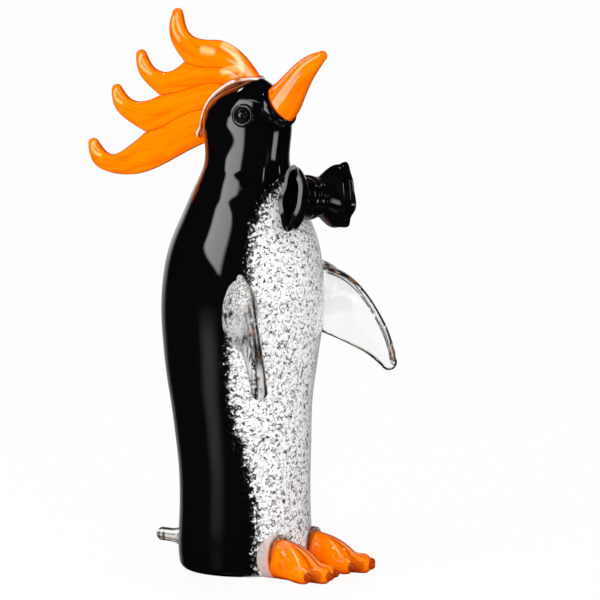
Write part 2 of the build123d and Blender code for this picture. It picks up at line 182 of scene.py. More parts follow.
class Shading:
    # writes the nodes of one finish
    def __init__(self, tree):
        self.tree = tree
        tree.nodes.clear()

    def node(self, kind, settings=None, values=None, out=0):
        made = self.tree.nodes.new(kind)
        for key, value in (settings or {}).items():
            setattr(made, key, value)
        for key, value in (values or {}).items():
            entry = made.inputs[key]
            if isinstance(value, Wire):
                self.tree.links.new(value.socket, entry)
            elif entry.type == "RGBA":
                entry.default_value = (*value, 1.0)
            else:
                entry.default_value = value
        return Wire(self, made.outputs[out]) if made.outputs else None

    def calc(self, operation, *values):
        return self.node("ShaderNodeMath", {"operation": operation}, dict(enumerate(values)))

    def larger(self, first, second):
        return self.calc("MAXIMUM", first, second)

    def mix(self, factor, first, second):
        return self.node("ShaderNodeMix", {"data_type": "RGBA"}, {0: factor, 6: first, 7: second}, 2)

    def ramp(self, value, low, high):
        return self.node("ShaderNodeMapRange", {"interpolation_type": "SMOOTHSTEP"},
                         {"Value": value, "From Min": low, "From Max": high})

    def vector(self, operation, first, second, out=0):
        return self.node("ShaderNodeVectorMath", {"operation": operation}, {0: first, 1: second}, out)

    def place(self):
        # where a point is, in millimetres
        return self.vector("MULTIPLY", self.node("ShaderNodeTexCoord", out="Object"), (1 / mm,) * 3)

    def held(self, name, out="Fac"):
        return self.node("ShaderNodeAttribute", {"attribute_name": name}, out=out)

    def noise(self, where, scale, detail=2.0, rough=0.5, warp=0.0, out="Fac"):
        return self.node("ShaderNodeTexNoise", None, {
            "Vector": where, "Scale": scale, "Detail": detail, "Roughness": rough, "Distortion": warp}, out)

    def stretched(self, where, stretch, *noise):
        return self.noise(self.vector("MULTIPLY", where, stretch), 1.0, *noise)

    def moved(self, where, offset, *noise):
        return self.noise(self.vector("ADD", where, offset), *noise)

    def veins(self, noise, low, high):
        # lines along the middle level of a noise
        return 1 - self.ramp(abs(noise - 0.5), low, high)

    def cells(self, where, scale, feature="F1", out="Distance"):
        return self.node("ShaderNodeTexVoronoi", {"feature": feature}, {"Vector": where, "Scale": scale}, out)

    def seeds(self, where, scale, low, high):
        # round spots in scattered cells
        return 1 - self.ramp(self.cells(where, scale), low, high)

    def channel(self, colour, index):
        return self.node("ShaderNodeSeparateColor", None, {0: colour}, index)

    def bump(self, height, distance, strength=1.0):
        return self.node("ShaderNodeBump", None, {"Height": height, "Distance": distance * mm,
                                                  "Strength": strength}, "Normal")

    def facing(self, values=None):
        return self.node("ShaderNodeLayerWeight", None, {"Blend": 0.5, **(values or {})}, "Facing")

    def ray(self, kind):
        return self.node("ShaderNodeLightPath", out=f"Is {kind} Ray")

    def shiny(self, colour, rough, values=None, specular=0.5):
        return self.node("ShaderNodeBsdfPrincipled", None, {
            "Base Color": colour, "Roughness": rough, "Specular IOR Level": specular, **(values or {})})

    def either(self, factor, first, second):
        return self.node("ShaderNodeMixShader", None, {0: factor, 1: first, 2: second})

    def close(self, shader, kind="ShaderNodeOutputMaterial"):
        self.node(kind, None, {"Surface": shader})


def newFinish(name):
    finish = bpy.data.materials.new(name)
    finish.use_nodes = True
    return finish, Shading(finish.node_tree)


def maskStrip(tree, name, border):
    # fades a strip at its border; side runs from back to front, high from foot to top
    kit = Shading(tree)
    across = kit.node("ShaderNodeNewGeometry", out="Parametric")
    side, high = [kit.node("ShaderNodeSeparateXYZ", None, {0: across}, axis) for axis in (0, 1)]
    back, front, foot = 0.0, 0.0, border
    if name == nearMask["strip"]:
        m = nearMask
        waist = kit.ramp(high, *m["waistLow"]) * (1 - kit.ramp(high, *m["waistHigh"])) * m["waist"]
        back = (1 - kit.ramp(high, *m["pointRise"])) * m["point"] + waist * m["waistBack"]
        front = waist + (1 - kit.ramp(high, *m["frontRise"])) * m["front"]
        foot = m["footBorder"]
    glow = kit.ramp(side - back, 0.0, border) * (1 - kit.ramp(side + front, 1 - border, 1.0)) \
        * kit.ramp(high, 0.0, foot) * (1 - kit.ramp(high, 1 - border, 1.0))
    glow = glow * (stripShade[0] - side * stripShade[1])
    kit.close(kit.node("ShaderNodeEmission", None, {"Strength": glow}), "ShaderNodeOutputLight")


def hangSoftboxes():
    for name, (azimuth, distance, height, width, tall, radiance, *border) in softboxes.items():
        data = bpy.data.lights.new(name, "AREA")
        data.shape = "RECTANGLE"
        data.size = width * mm
        data.size_y = tall * mm
        data.energy = radiance * math.pi * width * tall * mm * mm
        lamp = addToScene(name, data)
        # a strip, which has a border, shows in polished glass alone
        lamp.visible_glossy = bool(border)
        lamp.visible_diffuse = not border
        lamp.visible_transmission = False
        lamp.visible_camera = False
        place = Vector(heading(azimuth)) * distance * mm + Vector((0, 0, height * mm))
        aimedAt(lamp, place, Vector((0, 0, min(place.z, studio["aimTop"] * mm))))
        if border:
            data.use_nodes = True
            maskStrip(data.node_tree, name, border[0])


def roomLight():
    # white behind the bird and through glass, dark on the camera's side for polished glass
    world = bpy.data.worlds.new("studioRoom")
    world.use_nodes = True
    bpy.context.scene.world = world
    kit = Shading(world.node_tree)
    way = kit.node("ShaderNodeTexCoord", out="Generated")
    seen, through, gloss = [kit.ray(kind) for kind in ("Camera", "Transmission", "Glossy")]
    towards = kit.vector("DOT_PRODUCT", way, tuple(-heading(view["azimuth"])), "Value")
    height = kit.node("ShaderNodeSeparateXYZ", None, {0: way}, 2)

    def white(side, top):
        return kit.ramp(towards, *studio[side]) * (1 - kit.ramp(height, *studio[top]))

    glossLevel = white("backdrop", "backdropTop") * studio["backdropGloss"] + studio["roomGloss"]
    level = gloss * glossLevel + (1 - gloss) * studio["worldGlow"]
    dark = studio["throughDark"]
    level = level * (1 - through) + through * (white("clearSide", "clearTop") * (1 - dark) + dark)
    level = level * (1 - seen) + seen
    kit.close(kit.node("ShaderNodeBackground", None, {"Color": (1.0, 1.0, 1.0), "Strength": level}),
              "ShaderNodeOutputWorld")


# noises are given as scale, detail, roughness and warp, and ramps as where they start and end
crackle = {
    "white": (0.93, 0.93, 0.935), "grey": (0.50, 0.50, 0.51), "black": (0.0015, 0.0015, 0.002),
    "wander": (0.42, 3.0), "wanderReach": 2.4,
    "chipSize": 0.8,            # millimetres between chips at the broken edge
    "chipSeam": (0.02, 0.10),
    "fadeIn": 2.2,              # how far inside its edge the white is closed
    "fadeOut": 3.8,             # how far outside it the last chips lie
    "fray": (0.2, 3.0),
    "stray": 6.5,               # how far the broken edge wanders
    "crumb": 1.35, "crumbShare": 0.35, "crumbReach": -6.0,
    "crowded": (-4.0, 6.0),     # where the marks crowd at the broken edge
    # fine dark marks, like worm tracks cut into short lengths
    "track": (0.5, 2.0, 0.6, 1.6), "markWidth": 0.072, "markSpread": 0.13, "trackEdge": (0.93, 1.0),
    "cut": (0.5, 1.0), "cutEdge": (0.575, 0.585),
    "second": (0.775, 1.0, 0.5, 2.2), "secondPlace": (31.0, 17.0, 9.0), "secondEdge": (0.034, 0.04),
    "sparse": (0.6, 1.0), "sparsePlace": (5.0, 43.0, 12.0), "sparseEdge": (0.53, 0.55),
    "spots": (0.5, 0.165, 0.185),
    # the last of these ramps paints shade where the skin turns away from the view
    "milk": (0.045, 2.0), "milkEdge": (0.45, 0.8), "paintedLimbShade": (0.5, 0.95),
    "gather": (0.028, 1.0), "rough": 0.02, "whiteRough": 0.3,
}


def crackledGlass(name):
    # black glass with the white crackled layer: both show on either side of the layer's edge
    finish, kit = newFinish(name)
    c = crackle
    here = kit.place()
    wander = kit.noise(here, *c["wander"], out="Color")
    bent = kit.vector("ADD", here, kit.vector("MULTIPLY", wander, (c["wanderReach"],) * 3))
    inside = kit.held("inside")                 # millimetres inside the layer's edge
    frayed = inside + (kit.noise(here, *c["fray"]) - 0.5) * c["stray"]
    cover = kit.ramp(frayed, -c["fadeOut"], c["fadeIn"])
    crowd = 1 - kit.ramp(frayed, *c["crowded"])
    chips = kit.cells(bent, 1 / c["chipSize"], out="Color")
    chip, tone = [kit.channel(chips, index) for index in (0, 1)]
    closed = (chip * 0.96) < cover
    crumb = kit.channel(kit.cells(here, c["crumb"], out="Color"), 2)
    dust = (crumb > (1 - cover * c["crumbShare"])) * kit.ramp(inside, c["crumbReach"], 0.0)
    white = kit.larger(closed, dust)
    worm = abs(kit.noise(bent, *c["track"]) - 0.5) / (crowd * c["markSpread"] + c["markWidth"])
    track = 1 - kit.ramp(worm, *c["trackEdge"])
    broken = kit.ramp(kit.noise(here, *c["cut"]) + crowd * 0.3, *c["cutEdge"])
    second = kit.veins(kit.moved(bent, c["secondPlace"], *c["second"]), *c["secondEdge"])
    sparse = kit.ramp(kit.moved(here, c["sparsePlace"], *c["sparse"]), *c["sparseEdge"])
    marks = kit.larger(kit.larger(track * broken, second * sparse), kit.seeds(here, *c["spots"]))
    seam = 1 - kit.ramp(kit.cells(bent, 1 / c["chipSize"], "DISTANCE_TO_EDGE"), *c["chipSeam"])
    dark = kit.larger(marks, seam * (crowd * 0.75 + 0.25))
    milk = kit.ramp(kit.noise(here, *c["milk"]), *c["milkEdge"])
    # painted shade: the white layer turns grey where its skin turns away from the view
    paintedLimbShade = kit.ramp(kit.facing(), *c["paintedLimbShade"])
    body = kit.mix(milk * 0.12 + crowd * tone * 0.7 + paintedLimbShade * 0.35, c["white"], c["grey"])
    kit.close(kit.shiny(
        kit.mix(white * (1 - dark), c["black"], body), kit.ramp(white, 0.0, 1.0) * c["whiteRough"] + c["rough"],
        {"Coat Weight": 0.6, "Coat Roughness": c["rough"], "Normal": kit.bump(kit.noise(here, *c["gather"]), 0.3)}))
    return finish


blackGloss = {"tone": (0.0015, 0.0015, 0.002), "haze": (0.005, 0.0048, 0.005), "hazeEdge": (0.45, 0.8),
              "swirl": (0.06, 3.0, 0.6, 1.2), "seeds": (0.22, 0.03, 0.06), "seedRough": 0.05, "rough": 0.02,
              "gather": (0.09, 1.0)}


def blackGlass():
    finish, kit = newFinish("blackGlass")
    here = kit.place()
    b = blackGloss
    swirl = kit.ramp(kit.noise(here, *b["swirl"]), *b["hazeEdge"])
    kit.close(kit.shiny(
        kit.mix(swirl, b["tone"], b["haze"]), kit.seeds(here, *b["seeds"]) * b["seedRough"] + b["rough"],
        {"Coat Weight": 0.3, "Coat Roughness": b["rough"],
         "Normal": kit.bump(kit.noise(here, *b["gather"]), 0.4, 0.35)}, 0.55))
    return finish


orange = {
    "bright": (1.0, 0.195, 0.0), "warm": (0.97, 0.14, 0.0), "paintedHighlight": (1.0, 0.46, 0.17),
    "rim": (0.42, 0.03, 0.0), "deep": (0.55, 0.045, 0.0), "emberAndCreaseShade": (0.26, 0.018, 0.0),
    "glow": 0.05,               # painted glow: the orange gives off a little light of its own colour, which lifts its shade
    "wide": (1.0, 2.0, 0.55, 0.4), "fineStretch": (2.7, 1.6, 2.7), "fine": (3.0, 0.6, 0.3),
    "threadStretch": (1.7, 0.5, 1.7), "threadEdge": (0.0, 0.016), "warmEdge": (0.42, 0.7), "deepEdge": (0.54, 0.75),
    "milkEdge": (0.3, 0.55), "roughEdge": (0.3, 0.8), "rough": 0.02, "rimEdge": (0.52, 0.82),
}


def orangeGlass():
    # long soft streaks follow the pull of the glass, held on each piece as "grain"
    finish, kit = newFinish("orangeGlass")
    o = orange
    grain = kit.held("grain", "Vector")
    wide = kit.noise(grain, *o["wide"])
    fine = kit.stretched(grain, o["fineStretch"], *o["fine"])
    threads = kit.veins(kit.stretched(grain, o["threadStretch"], 1.0), *o["threadEdge"])
    # painted highlights: pale cream held on the crest's feathers and along the toes, where they would catch the light
    highlightAmount = kit.held("paintedHighlight") * (kit.ramp(fine, *o["milkEdge"]) * 0.45 + 0.55)
    colour = o["bright"]
    # the held edge darkens the glass's rims and is painted shade in the beak's mouth and under the feet; the dark red
    # of the toes' drops also paints shade in their creases
    for share, tone in ((kit.ramp(wide, *o["warmEdge"]), "warm"), (kit.ramp(fine, *o["deepEdge"]) * 0.45, "deep"),
                        (threads * 0.5, "deep"), (kit.held("edge"), "deep"), (highlightAmount, "paintedHighlight"),
                        (kit.held("emberAndCreaseShade"), "emberAndCreaseShade")):
        colour = kit.mix(share, colour, o[tone])
    # the glass gives off a little light of its own colour: a painted glow that lifts its shade
    glass = kit.shiny(colour, kit.ramp(fine, *o["roughEdge"]) * o["rough"] + o["rough"], {
        "Emission Color": colour, "Emission Strength": o["glow"], "Coat Weight": 0.6,
        "Coat Roughness": o["rough"], "Normal": kit.bump(wide, 0.3, 0.12)})
    # seen along its skin the glass is deep red and carries no white gloss
    rim = kit.shiny(o["rim"], 0.4, specular=0.0)
    kit.close(kit.either(kit.ramp(kit.facing(), *o["rimEdge"]) * 0.85, glass, rim))
    return finish


clear = {
    "tint": (0.99, 0.99, 0.99), "rim": (0.012, 0.011, 0.01), "warm": (0.30, 0.12, 0.03),
    "paintedBlush": (0.86, 0.74, 0.68), "shadow": (0.93, 0.93, 0.93), "bend": 1.45,
    "striae": ((0.12, 0.12, 0.05), 2.0, 0.5, 1.5), "seeds": (0.28, 0.06, 0.10), "grazing": (0.76, 0.95),
    "cracks": (0.75, 2.0, 0.6, 1.6), "crackEdge": (0.05, 0.065),
    # where the painted dark lines, their warm tint and the painted pale show: scale of the noise and its ramp
    "linePatches": (0.22, 0.28, 0.38), "warmPatches": (0.2, 0.52, 0.66), "palePatches": (0.13, 0.3, 0.45),
}


def clearGlass():
    # painted dark lines, standing in for dark surroundings seen through the glass, and painted pale lines and patches
    # with their blush and cracks, standing in for highlights and for the white layer seen through it, are held on the
    # pieces
    finish, kit = newFinish("clearGlass")
    here = kit.place()

    def patches(key):
        scale, low, high = clear[key]
        return kit.ramp(kit.noise(here, scale, 1.0), low, high)

    normal = kit.bump(kit.stretched(here, *clear["striae"]), 0.9, 0.5)
    body = kit.shiny(clear["tint"], 0.0, {"IOR": clear["bend"], "Transmission Weight": 1.0, "Normal": normal})
    # painted dark edges, warm in patches, where the glass turns away from the view, joined below by the painted dark
    # lines held on the pieces
    rim = kit.shiny(kit.mix(patches("warmPatches") * 0.6, clear["rim"], clear["warm"]), 0.04)
    edge = kit.facing({"Normal": normal}) + kit.seeds(here, *clear["seeds"]) * 0.1
    dark = kit.larger(kit.ramp(edge, *clear["grazing"]) * 0.85, kit.held("paintedDarkLine") * patches("linePatches"))
    paintedBlush = kit.mix(kit.held("paintedBlush"), clear["tint"], clear["paintedBlush"])
    cracks = kit.veins(kit.noise(here, *clear["cracks"]), *clear["crackEdge"])
    # painted pale: milky white with a pink blush and cracks, standing in for highlights and for the white layer seen
    # through the glass
    milk = kit.shiny(kit.mix(cracks * kit.held("paintedCrackle"), paintedBlush, clear["rim"]), 0.1)
    shown = kit.either(kit.held("paintedPale") * patches("palePatches"), kit.either(dark, body, rim), milk)
    lit = kit.node("ShaderNodeBsdfTransparent", None, {"Color": clear["shadow"]})
    kit.close(kit.either(kit.ray("Shadow"), shown, lit))
    return finish


def floorFinish():
    # white to the camera and through glass, but almost dark in polished black glass
    finish, kit = newFinish("paleFloor")
    seen, through, gloss = [kit.ray(kind) for kind in ("Camera", "Transmission", "Glossy")]
    shade = studio["floorShade"]
    speck = kit.ramp(kit.noise(kit.place(), 0.02, 2.0), 0.3, 0.7)
    matt = kit.shiny(kit.mix(speck, (shade,) * 3, (shade * 1.01,) * 3), 0.12, specular=0.35)
    dark = kit.shiny((studio["floorGloss"],) * 3, 0.1)
    lift = kit.node("ShaderNodeEmission", None, {"Color": (1.0, 1.0, 1.0), "Strength": 1.0})
    shown = kit.either((seen + through) * studio["floorLift"], matt, lift)
    # a ray that has passed through glass counts as glossy too
    kit.close(kit.either(gloss * (1 - through), shown, dark))
    return finish


def layFloor():
    data = bpy.data.meshes.new("floor")
    reach, count = studio["floorRadius"] * mm, studio["floorCorners"]
    data.from_pydata([(math.cos(a) * reach, math.sin(a) * reach, -studio["floorDrop"] * mm)
                      for a in around(count)], [], [list(range(count))])
    data.materials.append(floorFinish())
    addToScene("floor", data)


setCamera()
hangSoftboxes()
roomLight()
layFloor()
print("camera, light and floor done")

finishes = {
    "trunk": (crackledGlass("trunkGlass"), "black_glass"),
    "layer": (crackledGlass("crackleGlass"), "crackle_white_glass"),
    "black": (blackGlass(), "black_glass"),
    "orange": (orangeGlass(), "orange_glass"),
    "clear": (clearGlass(), "clear_glass"),
}
print("finishes done")


def curveThrough(points):
    # smooth curve by length through points of any width; gives the curve and its lengths at them
    points = np.array(points, float)
    knots = np.concatenate([[0], np.cumsum(np.linalg.norm(np.diff(points, axis=0), axis=1))])
    steps = np.diff(knots)
    count = len(points)
    system = np.eye(count)
    right = np.zeros_like(points)
    for i in range(1, count - 1):
        system[i, i - 1:i + 2] = steps[i - 1], 2 * (steps[i - 1] + steps[i]), steps[i]
        right[i] = 6 * ((points[i + 1] - points[i]) / steps[i] - (points[i] - points[i - 1]) / steps[i - 1])
    bends = np.linalg.solve(system, right)

    def at(lengths):
        s = np.clip(np.asarray(lengths, float), 0, knots[-1])
        i = np.clip(np.searchsorted(knots, s, side="right") - 1, 0, count - 2)
        h, u, w = (steps[i])[..., None], (knots[i + 1] - s)[..., None], (s - knots[i])[..., None]
        return (bends[i] * u ** 3 / (6 * h) + bends[i + 1] * w ** 3 / (6 * h)
                + (points[i] / h - bends[i] * h / 6) * u + (points[i + 1] / h - bends[i + 1] * h / 6) * w)

    return at, knots


def sampled(points, count):
    at, knots = curveThrough(points)
    return at(np.linspace(0, knots[-1], count))


def stationRows(stations, count):
    # the centre and the two half widths all along a path, from a few of them
    return sampled([[*centre, wide, thick] for centre, wide, thick in stations], count)


def waysAlong(line):
    return unit(np.gradient(line[:, :3], axis=0))


def lengthsAlong(line):
    return np.linalg.norm(np.diff(line, axis=0), axis=1)


def evenly(line, count):
    # the same line with its points at even steps
    steps = np.concatenate([[0], np.cumsum(lengthsAlong(line))])
    places = np.linspace(0, steps[-1], count)
    return np.stack([np.interp(places, steps, line[:, k]) for k in range(line.shape[1])], axis=1)


def smooth(data):
    data.polygons.foreach_set("use_smooth", [True] * len(data.polygons))
    return data


def meshOf(name, points, faces):
    data = bpy.data.meshes.new(name)
    data.from_pydata([tuple(p) for p in np.asarray(points) * mm], [], faces)
    smooth(data).update()
    return data


def ringFaces(rows, columns):
    faces = []
    for r in range(rows - 1):
        for c in range(columns):
            d = (c + 1) % columns
            faces.append((r * columns + c, r * columns + d, (r + 1) * columns + d, (r + 1) * columns + c))
    return faces


def tubeMesh(name, rings):
    # rows of closed loops, with both ends closed by their last loop
    rings = np.array(rings)
    rows, columns = rings.shape[:2]
    faces = ringFaces(rows, columns)
    faces.append(tuple(range(columns))[::-1])
    faces.append(tuple((rows - 1) * columns + c for c in range(columns)))
    return meshOf(name, rings.reshape(-1, 3), faces)


def tidied(data):
    # joins points that fall together, turns the faces outwards
    work = bmesh.new()
    work.from_mesh(data)
    bmesh.ops.remove_doubles(work, verts=work.verts, dist=0.004 * mm)
    bmesh.ops.dissolve_degenerate(work, edges=work.edges, dist=0.002 * mm)
    bmesh.ops.recalc_face_normals(work, faces=work.faces)
    work.to_mesh(data)
    work.free()
    return smooth(data)


def readOf(data, what):
    values = np.zeros(len(data.vertices) * 3)
    data.vertices.foreach_get(what, values)
    return values.reshape(-1, 3)


def pointsOf(data):
    return readOf(data, "co") / mm


def hold(data, name, values, kind="FLOAT"):
    # keeps a value for each point of a mesh, for its finish to read
    layer = data.attributes.new(name, kind, "POINT")
    layer.data.foreach_set("value" if kind == "FLOAT" else "vector", np.asarray(values, np.float32).ravel())


def melted(name, parts, voxel, passes):
    # fuses overlapping forms into one skin and lets their corners flow
    points, faces = [], []
    for part in parts:
        start = len(points)
        points += [tuple(v.co) for v in part.vertices]
        faces += [tuple(start + i for i in p.vertices) for p in part.polygons]
    data = bpy.data.meshes.new(name)
    data.from_pydata(points, [], faces)
    lump = addToScene(name + "Lump", data)
    skin = lump.modifiers.new("skin", "REMESH")
    skin.mode = "VOXEL"
    skin.voxel_size = voxel * mm
    lump.modifiers.new("flow", "SMOOTH").iterations = passes
    made = bpy.data.meshes.new_from_object(lump.evaluated_get(bpy.context.evaluated_depsgraph_get()))
    made.name = name
    bpy.data.objects.remove(lump)
    return smooth(made)


bothSides = (("Left", 1), ("Right", -1))


def addPiece(name, data, look, *nodes):
    finish, slot = finishes[look]
    data.materials.append(finish)
    piece = addToScene(name, data)
    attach(piece, "root")
    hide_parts(*nodes)


def ovalRing(centre, sides, reaches, columns):
    turns = around(columns)
    return centre + np.outer(np.cos(turns) * reaches[0], sides[0]) + np.outer(np.sin(turns) * reaches[1], sides[1])


def turnedMesh(name, centre, way, sides, profile, columns):
    # a form turned on an axis, from places along it and radii
    return tubeMesh(name, [ovalRing(centre + way * along, sides, (radius, radius), columns)
                           for along, radius in profile])


def ballProfile(radius, start, rows):
    # start is the turn from its pole to its first ring
    return [(radius * math.cos(t), radius * math.sin(t)) for t in np.linspace(start, math.pi - start, rows)]


def pulledRings(stations, flat, columns, rows):
    # oval sections along a path, with a round melted end; flat is the thin direction
    line = stationRows(stations, rows)
    ways = waysAlong(line)
    table = list(zip(line[:, :3], line[:, 3:], ways))
    end, reaches, way = table[-1]
    for turn in np.linspace(0, 88, 10)[1:]:
        back, out = circle(turn)
        table.append((end + way * reaches[0] * out, reaches * back, way))
    rings = []
    for centre, reaches, way in table:
        across = unit(np.cross(flat, way))
        rings.append(ovalRing(centre, (across, unit(np.cross(way, across))), reaches, columns))
    return np.array(rings)


# sections as shares of the height: radius and lean below the chest, narrowing and lead above it,
# depth, width and lead at the head
trunk = {
    "baseRadius": 33.0, "baseEdge": 5.0, "chestRadius": 41.0, "chestHeight": 136.0,
    "neckDepth": 45.2, "neckWidth": 37.0, "neckHeight": 206.0, "neckLead": 1.5, "backLean": 2.2,
    "headDepth": 48.0, "headWidth": 34.8, "crownHeight": 248.5, "crownLead": 9.0,
    "waver": 0.16,              # how far the hand-shaped skin strays
    "waves": (11.0, 37.0, 6.7, 23.0), "smallWaves": 0.7, "waveFrom": (6, 30), "waveTop": (0, 12),
    "lower": [(0.22, 0, 0), (0.44, 0.06, 0.27), (0.63, 0.34, 1), (0.81, 0.71, 1), (1, 1, 0.55)],
    "upper": [(0.23, 0.06, -0.5), (0.457, 0.26, 0), (0.63, 0.5, 0.35), (0.8, 0.74, 0.7), (1, 1, 1)],
    "head": [(0.235, 0.975, 1, 0.17), (0.494, 1, 1, 0.18), (0.66, 0.9, 0.92, 0.29), (0.8, 0.69, 0.75, 0.48),
             (0.918, 0.39, 0.48, 0.72), (0.985, 0.15, 0.2, 0.86)],
    "rows": 250, "outerCount": 170, "innerCount": 56,
}
layer = {
    "depth": 2.6, "height": 199.0, "count": 88, "slack": 0.05, "topGap": 0.2,
    "holdBack": 4.5, "holdHeight": 103.0, "holdReach": 17.0,    # the white stands back behind the wings
    "side": [(0.585, 0), (0.67, 0.30), (0.91, 0.60), (0.78, 0.76), (0.45, 0.935), (0, 1)],
}


def trunkTable():
    # height, half depth, half width and lead of each section, bottom to top
    t = trunk
    flat = t["baseRadius"] - t["baseEdge"] * 2
    rows = [(0, flat, flat, 0)]
    for turn in (0, 22.5, 45, 67.5, 90):
        inward, out = circle(turn)
        radius = t["baseRadius"] + t["baseEdge"] * (out - 1)
        rows.append((t["baseEdge"] * (1 - inward), radius, radius, 0))
    base, chest, neck, crown = t["baseRadius"], t["chestRadius"], t["neckHeight"], t["crownHeight"]
    for high, swell, lean in t["lower"]:
        radius = between(base, chest, swell)
        rows.append((t["chestHeight"] * high, radius, radius, -t["backLean"] * lean))
    for high, narrow, lead in t["upper"]:
        depth, width = [between(chest, t[key] / 2, narrow) for key in ("neckDepth", "neckWidth")]
        rows.append((between(t["chestHeight"], neck, high), depth, width, t["neckLead"] * lead))
    for high, depth, width, lead in t["head"]:
        rows.append((between(neck, crown, high), t["headDepth"] / 2 * depth, t["headWidth"] / 2 * width,
                     t["crownLead"] * lead))
    top = (t["crownHeight"], 0, 0, t["crownLead"])
    over = (rows[-1][0], -rows[-1][1], -rows[-1][2], t["crownLead"] * 1.05)
    return rows + [top, over]


trunkAt, trunkKnots = curveThrough(trunkTable())
bottomLength, topLength = trunkKnots[1], trunkKnots[-2]
trunkRows = trunkAt(np.linspace(bottomLength, topLength, 800))
levels = np.linspace(bottomLength, topLength - 0.05, trunk["rows"])
layerSide = [(trunk["chestRadius"] * w, layer["height"] * h) for w, h in layer["side"]]
layerAt, layerKnots = curveThrough(layerSide + [(-layerSide[-2][0], layerSide[-2][1])])
layerReach, layerHeights = layerAt(np.linspace(0, layerKnots[-2], 400)).T


def trunkSkin(lengths, turns, inset=0.0):
    # points of the trunk's skin; turns run from straight ahead round to the left
    high, depth, width, lead = np.moveaxis(trunkAt(lengths), -1, 0)
    long, longer, short, middling = [high / length for length in trunk["waves"]]
    stray = trunk["waver"] * (np.sin(long + 1.3) * np.sin(2 * turns + longer)
                              + trunk["smallWaves"] * np.sin(short + 3 * turns) * np.cos(turns - middling))
    stray = stray * smoothStep(*trunk["waveFrom"], high) * smoothStep(*trunk["waveTop"], depth)
    side = (width - inset + stray) * np.sin(turns)
    forward = lead + (depth - inset + stray) * np.cos(turns)
    return np.stack([side, -forward, high], axis=-1)


def layerTurn(length):
    # how far round each side the white layer reaches at a height
    high, depth, width, lead = trunkAt(length)
    reach = np.interp(high, layerHeights, layerReach, right=0.0)
    return float(np.arcsin(np.clip(reach / max(width, 1), 0, 1)))


def insideLayer(points):
    # millimetres inside the layer's edge, along the skin; outside is negative
    high = points[:, 2]
    arc = np.abs(np.arctan2(points[:, 0], -points[:, 1])) * np.hypot(points[:, 0], points[:, 1])
    edgeRadius = np.interp(layerHeights, trunkRows[:, 0], trunkRows[:, 2])
    edgeArc = np.arcsin(np.clip(layerReach / edgeRadius, 0, 1)) * edgeRadius
    gap = np.full(len(points), 1e9)
    for k in range(0, len(edgeArc), 4):
        gap = np.minimum(gap, np.hypot(arc - edgeArc[k], high - layerHeights[k]))
    within = (arc < np.interp(high, layerHeights, edgeArc)) & (high < layer["height"])
    return np.where(within, gap, -gap) - layer["holdBack"] * hill(high, layer["holdHeight"], layer["holdReach"])


def skinGrid(lengths, lay):
    # rows of skin points with their lengths and turns; lay gives a row's turns and insets from its edge
    rows = []
    for length in lengths:
        turns, insets = lay(layerTurn(length))
        rows.append((np.full(len(turns), length), turns, insets))
    lengths, turns, insets = np.array(rows).transpose(1, 0, 2)
    return trunkSkin(lengths, turns, insets), lengths.ravel(), turns.ravel()


def setNormals(data, lengths, turns, isSkin):
    # exact normals of the skin, so that the two pieces meet without a line
    along = trunkSkin(lengths + 0.05, turns) - trunkSkin(lengths - 0.05, turns)
    about = trunkSkin(lengths, turns + 0.002) - trunkSkin(lengths, turns - 0.002)
    exact = unit(np.cross(about, along))
    plain = np.zeros(len(data.polygons) * 3)
    data.polygons.foreach_get("normal", plain)
    plain = plain.reshape(-1, 3)
    loops = []
    for polygon in data.polygons:
        for vertex in polygon.vertices:
            loops.append(tuple(exact[vertex] if isSkin[polygon.index] else plain[polygon.index]))
    data.normals_split_custom_set(loops)


def makeTrunk():
    outer, inner, whole = trunk["outerCount"], trunk["innerCount"], 2 * math.pi

    def lay(edge):
        turns = [np.linspace(edge, whole - edge, outer), np.linspace(whole - edge, whole + edge, inner)]
        return np.concatenate(turns), np.repeat([0.0, layer["depth"] if edge > 0 else 0.0], [outer, inner])

    grid, lengths, turns = skinGrid(levels, lay)
    rows, columns = grid.shape[:2]
    faces = ringFaces(rows, columns)
    aboveLayer = np.linalg.norm(grid[:, outer - 1] - grid[:, outer], axis=1) < 1e-6
    isSkin = [i % columns < outer - 1 or aboveLayer[i // columns] for i in range(len(faces))]
    foot, crown, lastRow = rows * columns, rows * columns + 1, (rows - 1) * columns
    for c in range(columns):
        d = (c + 1) % columns
        faces += [(d, c, foot), (lastRow + c, lastRow + d, crown)]
        isSkin += [False, False]
    ends = [spot(0, 0), spot(trunk["crownLead"], trunk["crownHeight"])]
    points = np.concatenate([grid.reshape(-1, 3), ends])
    data = meshOf("trunk", points, faces)
    setNormals(data, np.append(lengths, [levels[0], levels[-1]]), np.append(turns, [0, 0]), isSkin)
    hold(data, "inside", insideLayer(points))
    return data


def makeLayer():
    count = layer["count"]

    def lay(edge):
        turns = np.linspace(-edge, edge, count)
        return np.append(turns, turns[::-1]), np.repeat([0.0, layer["depth"] - layer["slack"]], count)

    grid, lengths, turns = skinGrid(levels[trunkAt(levels)[:, 0] < layer["height"] - layer["topGap"]], lay)
    rows, columns = grid.shape[:2]
    data = tubeMesh("bellyLayer", grid)
    isSkin = [i % columns < count - 1 for i in range((rows - 1) * columns)] + [False, False]
    setNormals(data, lengths, turns, isSkin)
    hold(data, "inside", insideLayer(grid.reshape(-1, 3)))
    return data


addPiece("trunk", makeTrunk(), "trunk", "body")
addPiece("bellyLayer", makeLayer(), "layer", "belly_panel")
print("trunk and white layer done")

